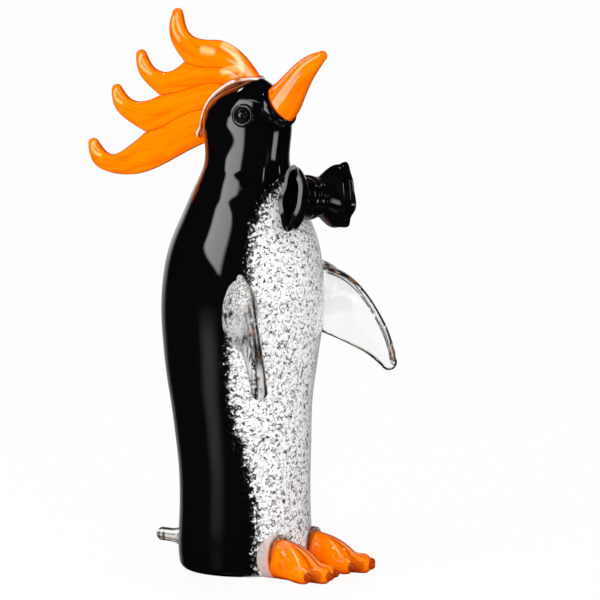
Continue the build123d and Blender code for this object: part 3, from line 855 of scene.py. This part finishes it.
# the crest's lines run forward and up from the crown, in shares of its reach
crest = {
    "reach": 100.0, "thickness": 6.3, "curlRadius": 2.7, "rows": 110, "columns": 26,
    "ridge": 0.05, "ridges": 7.5, "ridgeFrom": (4, 9),      # how high, how many and from what half width
    "rootShare": 0.86, "notchBlend": (-0.05, 0.04), "fusedEdge": 0.66, "rim": (0.93, 1.0), "tipRim": 0.6,
    "grainAcross": 0.16, "grainAlong": 0.022,
    "grooves": [
        [(-0.456, 0.048), (-0.334, 0.032), (-0.182, 0.033), (-0.047, -0.041)],
        [(-0.609, -0.135), (-0.456, -0.096), (-0.273, -0.044), (-0.096, -0.076)],
        [(-0.697, -0.328), (-0.578, -0.287), (-0.426, -0.207), (-0.230, -0.169)],
    ],
    "front": [(0.05, -0.052), (-0.023, 0.037), (-0.121, 0.127), (-0.23, 0.17), (-0.346, 0.167)],
    "back": [(-0.23, -0.311), (-0.43, -0.40), (-0.694, -0.53), (-0.902, -0.554)],
    "over": [[(-0.430, 0.190)], [(-0.56, -0.013), (-0.652, 0.003)], [(-0.694, -0.17), (-0.796, -0.168)],
             [(-0.816, -0.418), (-0.92, -0.46)]],
    "tips": [(-0.5, 0.2865), (-0.724, 0.06), (-0.876, -0.127), (-1.022, -0.413)],
    "turns": [88, 97, 102, 108],
    "under": [[(-0.523, 0.123), (-0.548, 0.207)], [(-0.682, -0.086), (-0.738, -0.022)],
              [(-0.816, -0.275), (-0.888, -0.211)], [(-1.024, -0.504)]],
    # painted highlights, pale cream patches in the roots of the feathers: half width and line of each
    "highlightPatches": [
        (2.1, [(-0.325, 0.12), (-0.301, 0.117), (-0.27, 0.115)]),
        (1.7, [(-0.209, 0.156), (-0.154, 0.13), (-0.112, 0.089), (-0.087, 0.045), (-0.1, 0.004)]),
        (1.9, [(-0.203, 0.019), (-0.148, 0.035), (-0.1, 0.044)]),
        (1.6, [(-0.069, -0.019), (-0.124, -0.044), (-0.185, -0.075), (-0.258, -0.107)]),
        # a painted highlight, a pale streak down each curl
        (0.85, [(-0.504, 0.27), (-0.509, 0.234), (-0.498, 0.195), (-0.47, 0.159)]),
        (0.85, [(-0.711, 0.061), (-0.714, 0.028), (-0.689, -0.005), (-0.647, -0.027)]),
        (0.85, [(-0.865, -0.127), (-0.868, -0.156), (-0.851, -0.177), (-0.827, -0.187)]),
        (0.85, [(-1.008, -0.406), (-1.005, -0.436), (-0.985, -0.457), (-0.961, -0.465)]),
    ],
    # how strong the painted highlights are
    "milk": 0.8,
    # columns and rows of the meshes, and grain and passes of the melting
    "seatMesh": (32, 50), "melt": (0.35, 5),
    "seat": [(0.01, -0.006, 0.7), (-0.10, -0.02, 1), (-0.20, -0.07, 1), (-0.275, -0.135, 0.98),
             (-0.318, -0.21, 0.9), (-0.336, -0.275, 0.8)],
    "seatWidth": 10.0, "seatThickness": 5.0, "dropRadius": 2.5, "dropPlace": (-0.6, -2.6, -2.6),
    # across the seat, 1 at the crest and -1 at the head: where its painted highlight and its painted dark line lie,
    # and how wide
    "seatPale": (0.35, 0.22), "seatPaleShare": 0.9, "seatDarkLine": (-0.35, 0.2),
}


def crestSpots(shares):
    return [spot(trunk["crownLead"] + crest["reach"] * share[0], trunk["crownHeight"] + crest["reach"] * share[1])
            for share in shares]


def crestEdge(fusedShares, freePoints, rows):
    # an edge from the root to the curl: fused to its neighbour first, then free
    line, fusedLength = sampled(freePoints, 60), 0.0
    if fusedShares:
        fused = sampled(crestSpots(fusedShares), 60)
        fusedLength = lengthsAlong(fused).sum()
        line = np.concatenate([fused, line[1:]])
    whole = lengthsAlong(line).sum()
    line = evenly(line, rows)
    for _ in range(4):
        line[1:-1] = (line[:-2] + 2 * line[1:-1] + line[2:]) / 4
    return line, fusedLength / whole, whole


def feather(number):
    rows, columns, radius = crest["rows"], crest["columns"], crest["curlRadius"]
    tip = crestSpots(crest["tips"])[number]
    tipWay = heading(0, crest["turns"][number])
    tipSide = np.cross(tipWay, leftWay) * radius
    share = np.linspace(0, 1, rows)
    edges, lengths, joins = [], [], []
    for groove, root, free, end in ((number - 1, "front", "over", tip - tipSide),
                                    (number, "back", "under", tip + tipSide)):
        shares = crest["grooves"][groove][::-1] if 0 <= groove < len(crest["grooves"]) else []
        start = crestSpots(shares[-1:] or crest[root])
        line, notch, length = crestEdge(shares, start + crestSpots(crest[free][number]) + [end], rows)
        edges.append(line)
        lengths.append(length)
        before, after = [notch + way for way in crest["notchBlend"]]
        joins.append(fallingStep(before, after, share) if notch else np.zeros(rows))
    middle, across = (edges[0] + edges[1]) / 2, edges[0] - edges[1]
    half = np.linalg.norm(across, axis=1) / 2
    across = unit(across)
    thick = np.maximum(np.minimum(crest["thickness"] / 2, half), radius * 0.9)
    thick = thick * between(crest["rootShare"], 1, smoothStep(0, 0.3, share))
    c = np.cos(np.linspace(0, math.pi, columns))
    spread = np.append(c, c[::-1])
    rings, grain, edge = [], [], []
    for r in range(rows):
        fused = np.where(c > 0, joins[0][r], joins[1][r])
        free = np.sqrt(np.maximum(1 - np.abs(c) ** 2.5, 0))
        joined = between(crest["fusedEdge"], 1, np.sqrt(np.maximum(1 - c * c, 0)))
        ridges = np.cos(c * crest["ridges"] + number * 1.7 + share[r] * 2) * smoothStep(*crest["ridgeFrom"], half[r])
        ripple = 1 + crest["ridge"] * ridges
        height = thick[r] * (free + (joined - free) * fused) * ripple
        height = np.append(height, -height[::-1])
        rings.append(middle[r] + np.outer(spread * half[r], across[r]) + np.outer(height, leftWay))
        rim = smoothStep(*crest["rim"], np.abs(spread))
        edge.append(rim * (1 - np.append(fused, fused[::-1]) * 0.2) * 0.9)
        grain.append(np.stack([spread * np.clip(half[r], 2, 12) * crest["grainAcross"] + number * 7,
                               np.full(2 * columns, share[r] * np.mean(lengths) * crest["grainAlong"]),
                               np.repeat([0.0, 3.0], columns)], axis=1))
    for turn in np.linspace(0, 86, 8)[1:]:
        small, out = circle(turn)
        rings.append(middle[-1] + tipWay * radius * out + (rings[rows - 1] - middle[-1]) * small)
        edge.append(edge[rows - 1] * crest["tipRim"])
        grain.append(grain[rows - 1])
    data = tubeMesh(f"crestFeather{number + 1}", rings)
    hold(data, "grain", np.concatenate(grain), "FLOAT_VECTOR")
    hold(data, "edge", np.concatenate(edge))
    points = pointsOf(tidied(data))
    # painted highlights: pale cream where the feathers' roots and curls would catch the light
    paintedHighlight = np.zeros(len(points))
    for width, shares in crest["highlightPatches"]:
        line = sampled(crestSpots(shares), 40)
        gap = np.min(np.hypot(points[:, None, 1] - line[None, :, 1], points[:, None, 2] - line[None, :, 2]), axis=1)
        paintedHighlight = np.maximum(paintedHighlight, fallingStep(width * 0.5, width * 1.2, gap))
    hold(data, "paintedHighlight", paintedHighlight * crest["milk"])
    return data


for number in range(4):
    addPiece(f"crestFeather{number + 1}", feather(number), "orange", f"crest_feather_{number + 1}")


def makeSeat():
    stations = [(centre, crest["seatThickness"] / 2 * broad, crest["seatWidth"] / 2 * broad)
                for centre, (_, _, broad) in zip(crestSpots(crest["seat"]), crest["seat"])]
    band = tubeMesh("band", pulledRings(stations, leftWay, *crest["seatMesh"]))
    drop = turnedMesh("drop", stations[-1][0] + spot(*crest["dropPlace"]), upWay, (leftWay, aheadWay),
                      ballProfile(crest["dropRadius"], math.radians(2), 16), 24)
    data = melted("crestSeat", [band, drop], *crest["melt"])
    # where each point lies across the band
    table = stationRows(stations, 120)
    across = unit(np.cross(leftWay, waysAlong(table)))
    away = pointsOf(data)[:, None] - table[None, :, :3]
    nearest = np.argmin(np.linalg.norm(away, axis=2), axis=1)
    spread = np.einsum("ij,ij->i", away[np.arange(len(nearest)), nearest], across[nearest]) / table[nearest, 3]
    spread *= np.sign(across[60] @ spot(-1, 1))
    # a painted highlight along the band, and a painted dark line beside it
    hold(data, "paintedPale", hill(spread, *crest["seatPale"]) * crest["seatPaleShare"])
    hold(data, "paintedDarkLine", hill(spread, *crest["seatDarkLine"]))
    return data


addPiece("crestSeat", makeSeat(), "clear", "crest_seat")
print("crest done")

# sections of the beak: forward, up, height and width; of the collar: place along it and radius
beak = {
    "length": 39.0, "height": 19.6, "width": 16.4, "tip": 2.6, "rootLead": 20.0, "rootHeight": 234.6,
    "columns": 96, "rows": 90,
    # where lines lie between the lower edge, -1, and the upper one, 1, how wide and how deep they are
    "mouth": (-0.62, 0.075, 0.14), "channel": (0.15, 0.2, 0.035),
    "sections": [(-0.033, -0.041, 1, 1), (0.067, 0.059, 1, 0.98), (0.238, 0.272, 0.8, 0.82),
                 (0.444, 0.523, 0.58, 0.61), (0.603, 0.656, 0.40, 0.43)],
    "end": (0.692, 0.718),
    "pressFrom": (0.12, 0.3), "pressTo": (0.85, 1.0),       # where along it the lines start and end
    "mouthShade": 0.7, "rim": (0.9, 1.0), "rimDark": 0.35, "grainAcross": 1.5, "grainAlong": 0.9, "grainStart": 20,
}
collar = {"radius": 11.2, "thickness": 6.6, "rise": 36.0,
          "sections": [(-0.5, 0.84), (-0.36, 0.95), (0, 1), (0.36, 0.95), (0.5, 0.84)],
          "rootCap": (0.1, 0.6), "beakCap": (0.93, 0.6, 0.1)}
beakRoot = spot(beak["rootLead"], beak["rootHeight"])


def makeBeak():
    length, tip, columns = beak["length"], beak["tip"], beak["columns"]
    stations = [(beakRoot + spot(ahead, up) * length, beak["height"] / 2 * high, beak["width"] / 2 * wide)
                for ahead, up, high, wide in beak["sections"]]
    stations.append((beakRoot + spot(*beak["end"]) * length, tip, tip))
    rings = pulledRings(stations, leftWay, columns, beak["rows"])
    turns = around(columns)
    height = np.cos(turns)
    mouth, channel = [hill(height, *beak[key][:2]) for key in ("mouth", "channel")]
    grain, edge = [], []
    for r, ring in enumerate(rings):
        along = min(r / beak["rows"], 1)
        press = smoothStep(*beak["pressFrom"], along) * fallingStep(*beak["pressTo"], along)
        pressed = press * (mouth * beak["mouth"][2] + channel * beak["channel"][2])
        centre = ring.mean(axis=0)
        rings[r] = centre + (ring - centre) * (1 - pressed)[:, None]
        grain.append(np.stack([height * beak["grainAcross"],
                               np.full(columns, along * beak["grainAlong"] + beak["grainStart"]),
                               np.sin(turns) * beak["grainAcross"]], axis=1))
        # painted shade down the mouth's groove; the upper and lower edges are a deeper red glass
        edge.append(mouth * press * beak["mouthShade"] + smoothStep(*beak["rim"], np.abs(height)) * beak["rimDark"])
    data = tubeMesh("beak", rings)
    hold(data, "grain", np.concatenate(grain), "FLOAT_VECTOR")
    hold(data, "edge", np.concatenate(edge))
    return tidied(data)


def makeCollar():
    way = heading(0, collar["rise"])
    rows = sampled([(along * collar["thickness"], wide * collar["radius"]) for along, wide in collar["sections"]], 24)
    profile = [(rows[0, 0], rows[0, 1] * share) for share in collar["rootCap"]] + list(rows) \
        + [(rows[-1, 0], rows[-1, 1] * share) for share in collar["beakCap"]]
    return tidied(turnedMesh("beakCollar", beakRoot, way, (leftWay, np.cross(way, leftWay)), profile, 64))


addPiece("beak", makeBeak(), "orange", "beak")
addPiece("beakCollar", makeCollar(), "black", "beak_collar")
print("beak and collar done")

# the profile of the disc: radius and height
eye = {"radius": 6.0, "thickness": 3.0, "bead": 3.2, "beadRise": 0.3, "height": 231.5, "bearing": 70.0, "lift": 14.0,
       "profile": [(1.0, -0.5), (1.0, -0.05), (0.93, 0.22), (0.78, 0.36), (0.66, 0.27), (0.56, 0.12), (0.3, 0.1),
                   (0.02, 0.1)]}


def makeEye(side):
    rows = trunkAt(np.linspace(bottomLength, topLength, 2000))
    depth, width, lead = [float(np.interp(eye["height"], rows[:, 0], rows[:, k])) for k in (1, 2, 3)]
    (ahead, out), (level, rise) = circle(eye["bearing"]), circle(eye["lift"])
    centre = spot(lead + depth * ahead, eye["height"], width * out * side)
    way = unit(spot(ahead / depth, 0, side * out / width)) * level + upWay * rise
    across = unit(np.cross(upWay, way))
    sides = (across, np.cross(way, across))
    profile = [(high * eye["thickness"], wide * eye["radius"]) for wide, high in sampled(eye["profile"], 40)]
    disc = turnedMesh("eyeDisc", centre, way, sides, profile, 64)
    bead = turnedMesh("eyeBead", centre + way * eye["thickness"] * eye["beadRise"], way, sides,
                      ballProfile(eye["bead"], 0.03, 32), 48)
    return tidied(disc), tidied(bead)


for word, side in bothSides:
    disc, bead = makeEye(side)
    addPiece("eyeDisc" + word, disc, "black", "eye_disc_" + word.lower())
    addPiece("eyeBead" + word, bead, "black", "eye_bead_" + word.lower())
print("eyes done")

# sections of a lobe: out from the knot, height and depth
bow = {
    "lead": 38.2, "height": 190.8, "halfSpan": 26.5, "tilt": 5.0, "lobeRise": 1.0, "sweep": 6.0,
    "knotRadius": 11.3, "knotWidth": 15.0, "knotRing": 0.9, "knotRings": 3, "knotEnd": 0.2, "knotColumns": 90,
    "ringPower": 0.7, "knotWaver": 0.012, "knotCap": 0.8, "knotPole": 0.2,
    "lobeHeight": 33.0, "lobeDepth": 13.0, "wall": 2.4, "hollow": 12.5, "folds": 0.11, "smallFolds": 0.05,
    "belly": 0.1, "lip": 0.35, "foldCounts": (4, 7), "foldDepth": 1.4, "foldHeight": 0.35, "flareDrop": 0.04,
    # how far the rim stands back at the lobe's top, foot and front
    "topDrop": 4.5, "footDrop": 0.0, "frontDrop": 3.0,
    "sections": [(0.12, 0.5, 0.8), (0.3, 0.58, 0.92), (0.5, 0.78, 1.08), (0.7, 0.93, 1.1), (0.84, 0.95, 0.96),
                 (0.94, 1.0, 0.97), (1, 1.01, 0.97)],
    "pocket": [(1.2, 0.8), (1.8, 0.45), (2.0, 0.05)],       # how the hollow closes at its ground
}


def bowPlace(points):
    # tilts the tie about its middle and puts it on the breast
    level, rise = circle(bow["tilt"])
    side, back, up = np.moveaxis(np.array(points, float), -1, 0)
    return np.stack([side * level + up * rise, back, up * level - side * rise], axis=-1) \
        + spot(bow["lead"], bow["height"])


def makeKnot():
    half, columns = bow["knotWidth"] / 2, bow["knotColumns"]
    across = np.linspace(-half, half, 70)
    ripple = np.abs(np.sin(math.pi * (across / bow["knotWidth"] + 0.5) * bow["knotRings"]))
    radius = bow["knotRadius"] * (1 - bow["knotEnd"] * (across / half) ** 2) \
        - bow["knotRing"] * (1 - ripple ** bow["ringPower"])
    across = np.concatenate([[-half] * 2, across, [half] * 2])
    pole, cap = bow["knotPole"], bow["knotCap"]
    radius = np.concatenate([[pole, radius[0] * cap], radius, [radius[-1] * cap, pole]])
    turns = around(columns)
    rings = []
    for x, r in zip(across, radius):
        r = r * (1 + bow["knotWaver"] * np.sin(3 * turns + x * 0.4))
        rings.append(np.stack([np.full(columns, x), r * np.sin(turns), r * np.cos(turns)], axis=1))
    return tidied(tubeMesh("bowKnot", bowPlace(rings)))


def makeLobe(side):
    span, wall = bow["halfSpan"], bow["wall"]
    table = sampled([(span * out, bow["lobeHeight"] / 2 * high, bow["lobeDepth"] / 2 * deep)
                     for out, high, deep in bow["sections"]], 60)
    rows = [tuple(row) for row in table]
    x, high, deep = rows[-1]
    for turn in np.linspace(0, 180, 12)[1:-1]:
        back = wall / 2 * (1 - circle(turn)[0])
        rows.append((x, high - back, deep - back))
    rows += [(x - wall * bow["lip"], high - wall, deep - wall)
             for x, high, deep in table[table[:, 0] > span - bow["hollow"]][::-1]]
    x, high, deep = rows[-1]
    rows += [(x - back, high * share, deep * share) for back, share in bow["pocket"]]
    turns = around(96)
    c, s = np.cos(turns), np.sin(turns)
    few, many = bow["foldCounts"]
    rings = []
    for x, high, deep in rows:
        out = x / span
        flare = out ** 3
        fold = bow["folds"] * flare * np.cos(few * turns + side * 0.8) \
            + bow["smallFolds"] * flare * np.cos(many * turns + 1.0)
        fuller = np.where(c < 0, bow["belly"] * math.sin(math.pi * min(out, 1)), 0)
        droop = np.where(c > 0, bow["topDrop"], bow["footDrop"]) * c ** 2 + bow["frontDrop"] * s ** 2
        thick = 1 + fold * bow["foldDepth"]
        tall = 1 + fold * bow["foldHeight"] - bow["flareDrop"] * flare + fuller
        rings.append(np.stack([side * (x - droop * flare), deep * s * thick - bow["sweep"] * out,
                               bow["lobeRise"] + high * c * tall], axis=1))
    return tidied(tubeMesh("bowLobe", bowPlace(rings)))


addPiece("bowKnot", makeKnot(), "black", "bow_knot")
for word, side in bothSides:
    addPiece("bowLobe" + word, makeLobe(side), "black", "bow_lobe_" + word.lower())
print("bow tie done")

# the blade's path: out, up, height and how much of the root's thickness; the rod's path: out and up
wing = {
    "length": 38.0, "rootHeight": 34.6, "rootThickness": 18.0, "thickness": 8.0, "tipRadius": 4.2,
    "rim": 1.9, "line": 0.45, "drop": 37.0, "rootLead": 22.3, "rootSide": 34.4, "height": 133.5, "bearing": 40.0,
    "blade": [(-0.14, 0.02, 0.54, 1), (0.04, 0.0, 0.5, 0.85), (0.30, -0.15, 0.43, 0.15), (0.55, -0.38, 0.33, 0),
              (0.74, -0.60, 0.23, 0)],
    "tip": (0.90, -0.87),
    "rod": [(-0.1, 0.53), (0.09, 0.46), (0.31, 0.25), (0.5, 0.02), (0.66, -0.2), (0.82, -0.47), (0.94, -0.74)],
    "halfThick": ([-5.0, 3.0, 12.0, 34.0], [9.0, 8.2, 4.6, 3.9]),   # places outwards and half thickness there
    "bladeMesh": (64, 70), "rodMesh": (24, 60), "melt": (0.45, 4),
    # the painted dark lines on its sides: from full to none, in shares of "line", round it, at its leading edge and
    # inside that
    "lineFades": ((1, 1.8), (1.4, 2.2), (0.3, 1)), "edgeInset": 0.2, "innerInset": 1.7, "far": 9.0,
    # over the blade's height: the finger at its foot, and the root's painted pale, the white layer as if seen through
    # it
    "finger": (-24.0, -16.0), "milk": (-9.0, -4.0), "paleReach": (14.0, 19.0), "farPale": 0.3,
    "paleShare": 0.8, "fingerPale": 0.45, "fingerPaleEdge": (0.3, 0.5),
    # across its thickness: the painted dark lines, and where the painted pale ends
    "seam": (0.6, 0.25), "fingerSeam": (-0.76, 0.16), "milkEdge": (0.25, 0.4),
}


def holdWingLines(data, start, way, flat, table, tip, tipWay):
    points = pointsOf(data)
    places = np.stack([points @ way, points[:, 2]], axis=1)
    side = np.abs(readOf(data, "normal") @ flat)

    def gapTo(line):
        flatLine = np.stack([line @ way, line[:, 2]], axis=1)
        return np.min(np.linalg.norm(places[:, None] - flatLine[None], axis=2), axis=1)

    # on the flat sides: painted dark lines just inside the outline, doubled along the leading edge
    across = unit(np.cross(flat, waysAlong(table))) * table[:, 3:4]
    edges = [table[:, :3] + across, table[:, :3] - across]
    upper, lower = [gapTo(edge) for edge in sorted(edges, key=lambda edge: -edge[40, 2])]
    turns = np.linspace(0, 2 * math.pi, 40)
    ring = tip + (np.outer(np.cos(turns), way) + np.outer(np.sin(turns), upWay)) * wing["tipRadius"]
    ring = np.where((points - tip) @ tipWay > -0.5, gapTo(ring), wing["far"])
    gaps = (np.minimum(lower, np.where(ring < upper, ring, wing["far"])), np.abs(upper - wing["edgeInset"]),
            np.abs(upper - wing["rim"] * wing["innerInset"]))
    outline = np.maximum.reduce([fallingStep(wing["line"] * full, wing["line"] * none, gap)
                                 for (full, none), gap in zip(wing["lineFades"], gaps)])
    outline = outline * smoothStep(0.12, 0.5, side)
    # seen end on: a painted dark line down the front of its thickness, painted pale at the root and in the finger
    along, up = (points - start) @ way, points[:, 2] - start[2]
    ahead = (points - start) @ flat / np.interp(along, *wing["halfThick"])
    finger = fallingStep(*wing["finger"], up)
    seam = 3 * hill(ahead, *wing["seam"]) + finger * 2.2 * hill(ahead, *wing["fingerSeam"]) \
        + 0.8 * hill(up, -12.0, 4.0) * hill(ahead, 0.1, 0.5)
    seam = seam * smoothStep(0.1, 0.5, 1 - side)
    hold(data, "paintedDarkLine", np.minimum(outline + seam, 1) * smoothStep(0.0, 3.0, along - 1.0))
    # painted pale: the white layer as if seen through the root, cracked on the near wing, and a painted highlight in
    # the finger
    milk = smoothStep(*wing["milk"], up)
    pale = milk * fallingStep(*wing["milkEdge"], ahead) * fallingStep(*wing["paleReach"], along) * wing["paleShare"] \
        + finger * fallingStep(*wing["fingerPaleEdge"], np.abs(ahead)) * wing["fingerPale"]
    return pale, milk


def makeWing(side):
    way, flat = heading(wing["bearing"]), heading(wing["bearing"] - 90)
    start = spot(wing["rootLead"], wing["height"], wing["rootSide"])
    thin, rim, tipRadius = wing["thickness"] / 2, wing["rim"], wing["tipRadius"]

    def wingSpot(out, up):
        return start + way * wing["length"] * out + spot(0, wing["drop"] * up)

    stations = [(wingSpot(out, up), wing["rootHeight"] * broad, thin + (wing["rootThickness"] / 2 - thin) * root)
                for out, up, broad, root in wing["blade"]]
    tip = wingSpot(*wing["tip"])
    tipWay = unit(tip - stations[-1][0])
    stations.append((tip, tipRadius, tipRadius))
    blade = tubeMesh("blade", pulledRings(stations, flat, *wing["bladeMesh"]))
    rodStations = [(wingSpot(out, up), rim, rim) for out, up in wing["rod"]]
    rod = tubeMesh("rod", pulledRings(rodStations, flat, *wing["rodMesh"]))
    data = melted("wing", [blade, rod], *wing["melt"])
    pale, milk = holdWingLines(data, start, way, flat, stationRows(stations, 80), tip, tipWay)
    # the far wing is clear almost to its root
    hold(data, "paintedPale", pale * (1.0 if side < 0 else wing["farPale"]))
    hold(data, "paintedCrackle", milk * (1.0 if side < 0 else 0.0))
    if side < 0:
        places = readOf(data, "co")
        places[:, 0] *= -1
        data.vertices.foreach_set("co", places.ravel())
        data.flip_normals()
    data.update()
    return data


for word, side in bothSides:
    addPiece("wing" + word, makeWing(side), "clear", "wing_" + word.lower())
print("wings done")

# sections of a toe: along, middle, height and width; of the heel's seat: along and swell
foot = {
    "spread": 14.5, "heelLead": 31.0, "heelHeight": 20.5, "heelWidth": 17.0, "toeRadius": 4.4,
    "toeLength": 29.0, "toeSplay": 18.0, "turns": {"Left": 15.0, "Right": 1.5}, "seatLength": 7.0, "seatLip": 1.0,
    "knob": 2.2, "knobLead": 2.0,   # the drop at the end of each toe, and how far it stands out
    "toes": {-1: 0.78, 0: 1.0, 1: 0.94},
    "sections": [(0, 1, 1, 1), (0.3, 0.88, 0.88, 0.95), (0.6, 0.66, 0.66, 0.8), (0.84, 0.46, 0.46, 0.56)],
    "seat": [(-1, 1), (0, 1), (0.3, 0.97)], "seatCap": (0.96, 0.7, 0.1), "seatCapLead": 0.35, "seatPale": 0.42,
    "press": 0.5,               # how deep the soles are pressed flat
    "floorGap": 0.02, "toeMesh": (48, 50), "melt": (0.34, 3),
    "creases": (-0.5, 0.5), "threads": (-1.12, -0.12, 0.8),     # where the painted shade of the creases and the painted highlights run, in shares of the splay
    "threadEdge": (0.25, 0.6), "threadFrom": (9.0, 13.0), "threadTo": (22.0, 27.0), "toeHighlightShare": 0.8,
    "creaseEdge": (0.3, 1.3), "creaseFrom": (7.0, 15.0), "creaseShade": 0.6, "topSide": (0.2, 0.5),
    "dropEdge": (0.95, 1.3), "dropDark": 0.9, "soleShadeEdge": (0.5, 2.5), "soleShade": 0.8,
    "grainTurn": 3.2, "grainReach": 0.03, "grainHeight": 0.05, "grainStart": 5,
}


def makeFoot(side, turnOut):
    heel = spot(foot["heelLead"], 0, side * foot["spread"])
    halfHeight, halfWidth = foot["heelHeight"] / 2, foot["heelWidth"] / 2
    toe, knobRadius = foot["toeRadius"], foot["knob"]
    parts, tips = [], []
    for step, share in foot["toes"].items():
        turn = side * turnOut + foot["toeSplay"] * step
        length = foot["toeLength"] * share - foot["knobLead"]
        way = heading(turn)
        stations = []
        for along, middle, high, wide in foot["sections"]:
            high = max(halfHeight * high, toe)
            wide = min(max(halfWidth * wide, toe), high)
            stations.append((heel + way * length * along + spot(0, halfHeight * middle - foot["press"]), high, wide))
        tip = heel + way * length + spot(0, toe - foot["press"])
        stations.append((tip, toe, toe))
        knob = tip + way * (toe + foot["knobLead"] - knobRadius)
        tips.append(knob)
        parts.append(turnedMesh("knob", knob, upWay, (leftWay, aheadWay), ballProfile(knobRadius, 0.05, 16), 24))
        parts.append(tubeMesh("toe", pulledRings(stations, heading(turn + 90), *foot["toeMesh"])))
    data = melted("foot", parts, *foot["melt"])
    points = pointsOf(data)
    points[:, 2] = np.maximum(points[:, 2], foot["floorGap"])
    data.vertices.foreach_set("co", (points * mm).ravel())
    away = points - heel
    reach = np.hypot(away[:, 0], away[:, 1])
    turn = np.arctan2(away[:, 0], -away[:, 1])

    def gapTo(shares):
        lines = [math.radians(side * turnOut + foot["toeSplay"] * share) for share in shares]
        return np.min([np.abs(turn - line) for line in lines], axis=0) * reach

    hold(data, "grain", np.stack([turn * foot["grainTurn"] + side * foot["grainStart"], reach * foot["grainReach"],
                                  points[:, 2] * foot["grainHeight"]], axis=1), "FLOAT_VECTOR")
    # painted highlights: pale lines along the upper sides of the toes
    upward = smoothStep(*foot["topSide"], readOf(data, "normal")[:, 2])
    toeHighlight = fallingStep(*foot["threadEdge"], gapTo(foot["threads"])) * upward
    hold(data, "paintedHighlight", toeHighlight * smoothStep(*foot["threadFrom"], reach) * fallingStep(*foot["threadTo"], reach)
         * foot["toeHighlightShare"])
    # painted shade: dark red lines in the creases between the toes, held with the dark red of the drops
    crease = fallingStep(*foot["creaseEdge"], gapTo(foot["creases"])) * smoothStep(*foot["creaseFrom"], reach)
    near = np.min([np.linalg.norm(points - tip, axis=1) for tip in tips], axis=0)
    drops = fallingStep(*[knobRadius * share for share in foot["dropEdge"]], near)
    hold(data, "emberAndCreaseShade", np.maximum(drops * foot["dropDark"], crease * foot["creaseShade"]))
    # painted shade: darker towards the floor, under the foot
    hold(data, "edge", fallingStep(*foot["soleShadeEdge"], points[:, 2]) * foot["soleShade"])
    return data


def makeFootSeat(side, turnOut):
    heel = spot(foot["heelLead"], 0, side * foot["spread"])
    way = heading(side * turnOut)
    high, wide = foot["heelHeight"] / 2 + foot["seatLip"], foot["heelWidth"] / 2 + foot["seatLip"]
    table = stationRows([(heel + way * foot["seatLength"] * along + spot(0, high - foot["press"]), high * swell,
                          wide * swell) for along, swell in foot["seat"]], 24)
    sides = (upWay, unit(np.cross(upWay, way)))
    rings = [ovalRing(row[:3], sides, row[3:], 64) for row in table]
    last = table[-1]
    rings += [ovalRing(last[:3] + way * foot["seatCapLead"], sides, last[3:] * share, 64)
              for share in foot["seatCap"]]
    rings = np.array(rings)
    rings[..., 2] = np.maximum(rings[..., 2], foot["floorGap"])
    data = tidied(tubeMesh("footSeat", rings))
    # painted pale with a pink blush where it leaves the trunk, standing in for the white layer and the orange seen
    # through it, with a painted dark line round the heel
    along = (pointsOf(data) - heel) @ way
    hold(data, "paintedPale", fallingStep(-1.0, 0.6, along) * foot["seatPale"])
    hold(data, "paintedBlush", np.ones(len(along)))
    hold(data, "paintedDarkLine", hill(along, 1.0, 0.45))
    return data


for word, side in bothSides:
    turnOut = foot["turns"][word]
    addPiece("foot" + word, makeFoot(side, turnOut), "orange", "foot_" + word.lower())
    addPiece("footSeat" + word, makeFootSeat(side, turnOut), "clear", "foot_seat_" + word.lower())
print("feet done")

tail = {
    "reach": 54.0, "height": 12.0, "radius": 3.4, "flare": 11.0, "flareLength": 12.5, "sink": 2.5, "curve": 1.9,
    # painted dark lines along it: how high round it, how wide and how dark
    "lines": [(0.92, 0.2, 1), (-0.9, 0.22, 1), (0.25, 0.1, 0.6), (-0.35, 0.08, 0.7)],
    "darkRoot": (1.0, 7.0), "rootDark": 0.7, "lineDark": 1.3, "fade": (0.5, 2.5),
    "tipRing": (0.9, 0.5), "milk": (0.6, 0.12), "paleShare": 0.8,
}


def makeTail():
    base, radius = trunk["baseRadius"], tail["radius"]
    root, straight = base - tail["sink"], tail["reach"] - radius
    outward = np.linspace(0, 1, 20)
    back = root + (base + tail["flareLength"] - root) * outward
    profile = list(zip(back, radius + (tail["flare"] - radius) * (1 - outward) ** tail["curve"]))
    profile += [(b, radius) for b in np.linspace(back[-1], straight, 8)[1:]]
    profile += [(straight + radius * math.sin(t), radius * math.cos(t)) for t in np.linspace(0, 1.54, 10)[1:]]
    data = tidied(turnedMesh("tail", spot(0, tail["height"]), -aheadWay, (leftWay, upWay), profile, 48))
    side, back, up = pointsOf(data).T
    up = up - tail["height"]
    out = np.hypot(side, up)
    lift = up / np.maximum(out, 0.1)
    fade = smoothStep(*tail["fade"], out)
    lines = sum(hill(lift, place, width) * depth for place, width, depth in tail["lines"])
    inset, width = tail["tipRing"]
    ring = hill(back, tail["reach"] - radius * inset, width)
    dark = fallingStep(*[base + place for place in tail["darkRoot"]], back)
    # painted dark lines along the rod, round its tip and where it meets the trunk
    hold(data, "paintedDarkLine", np.minimum(fade * lines * tail["lineDark"] + ring + dark * tail["rootDark"], 1))
    # a painted highlight line along its upper side
    hold(data, "paintedPale", fade * hill(lift, *tail["milk"]) * tail["paleShare"])
    return data


addPiece("tail", makeTail(), "clear", "tail")
print("tail done")
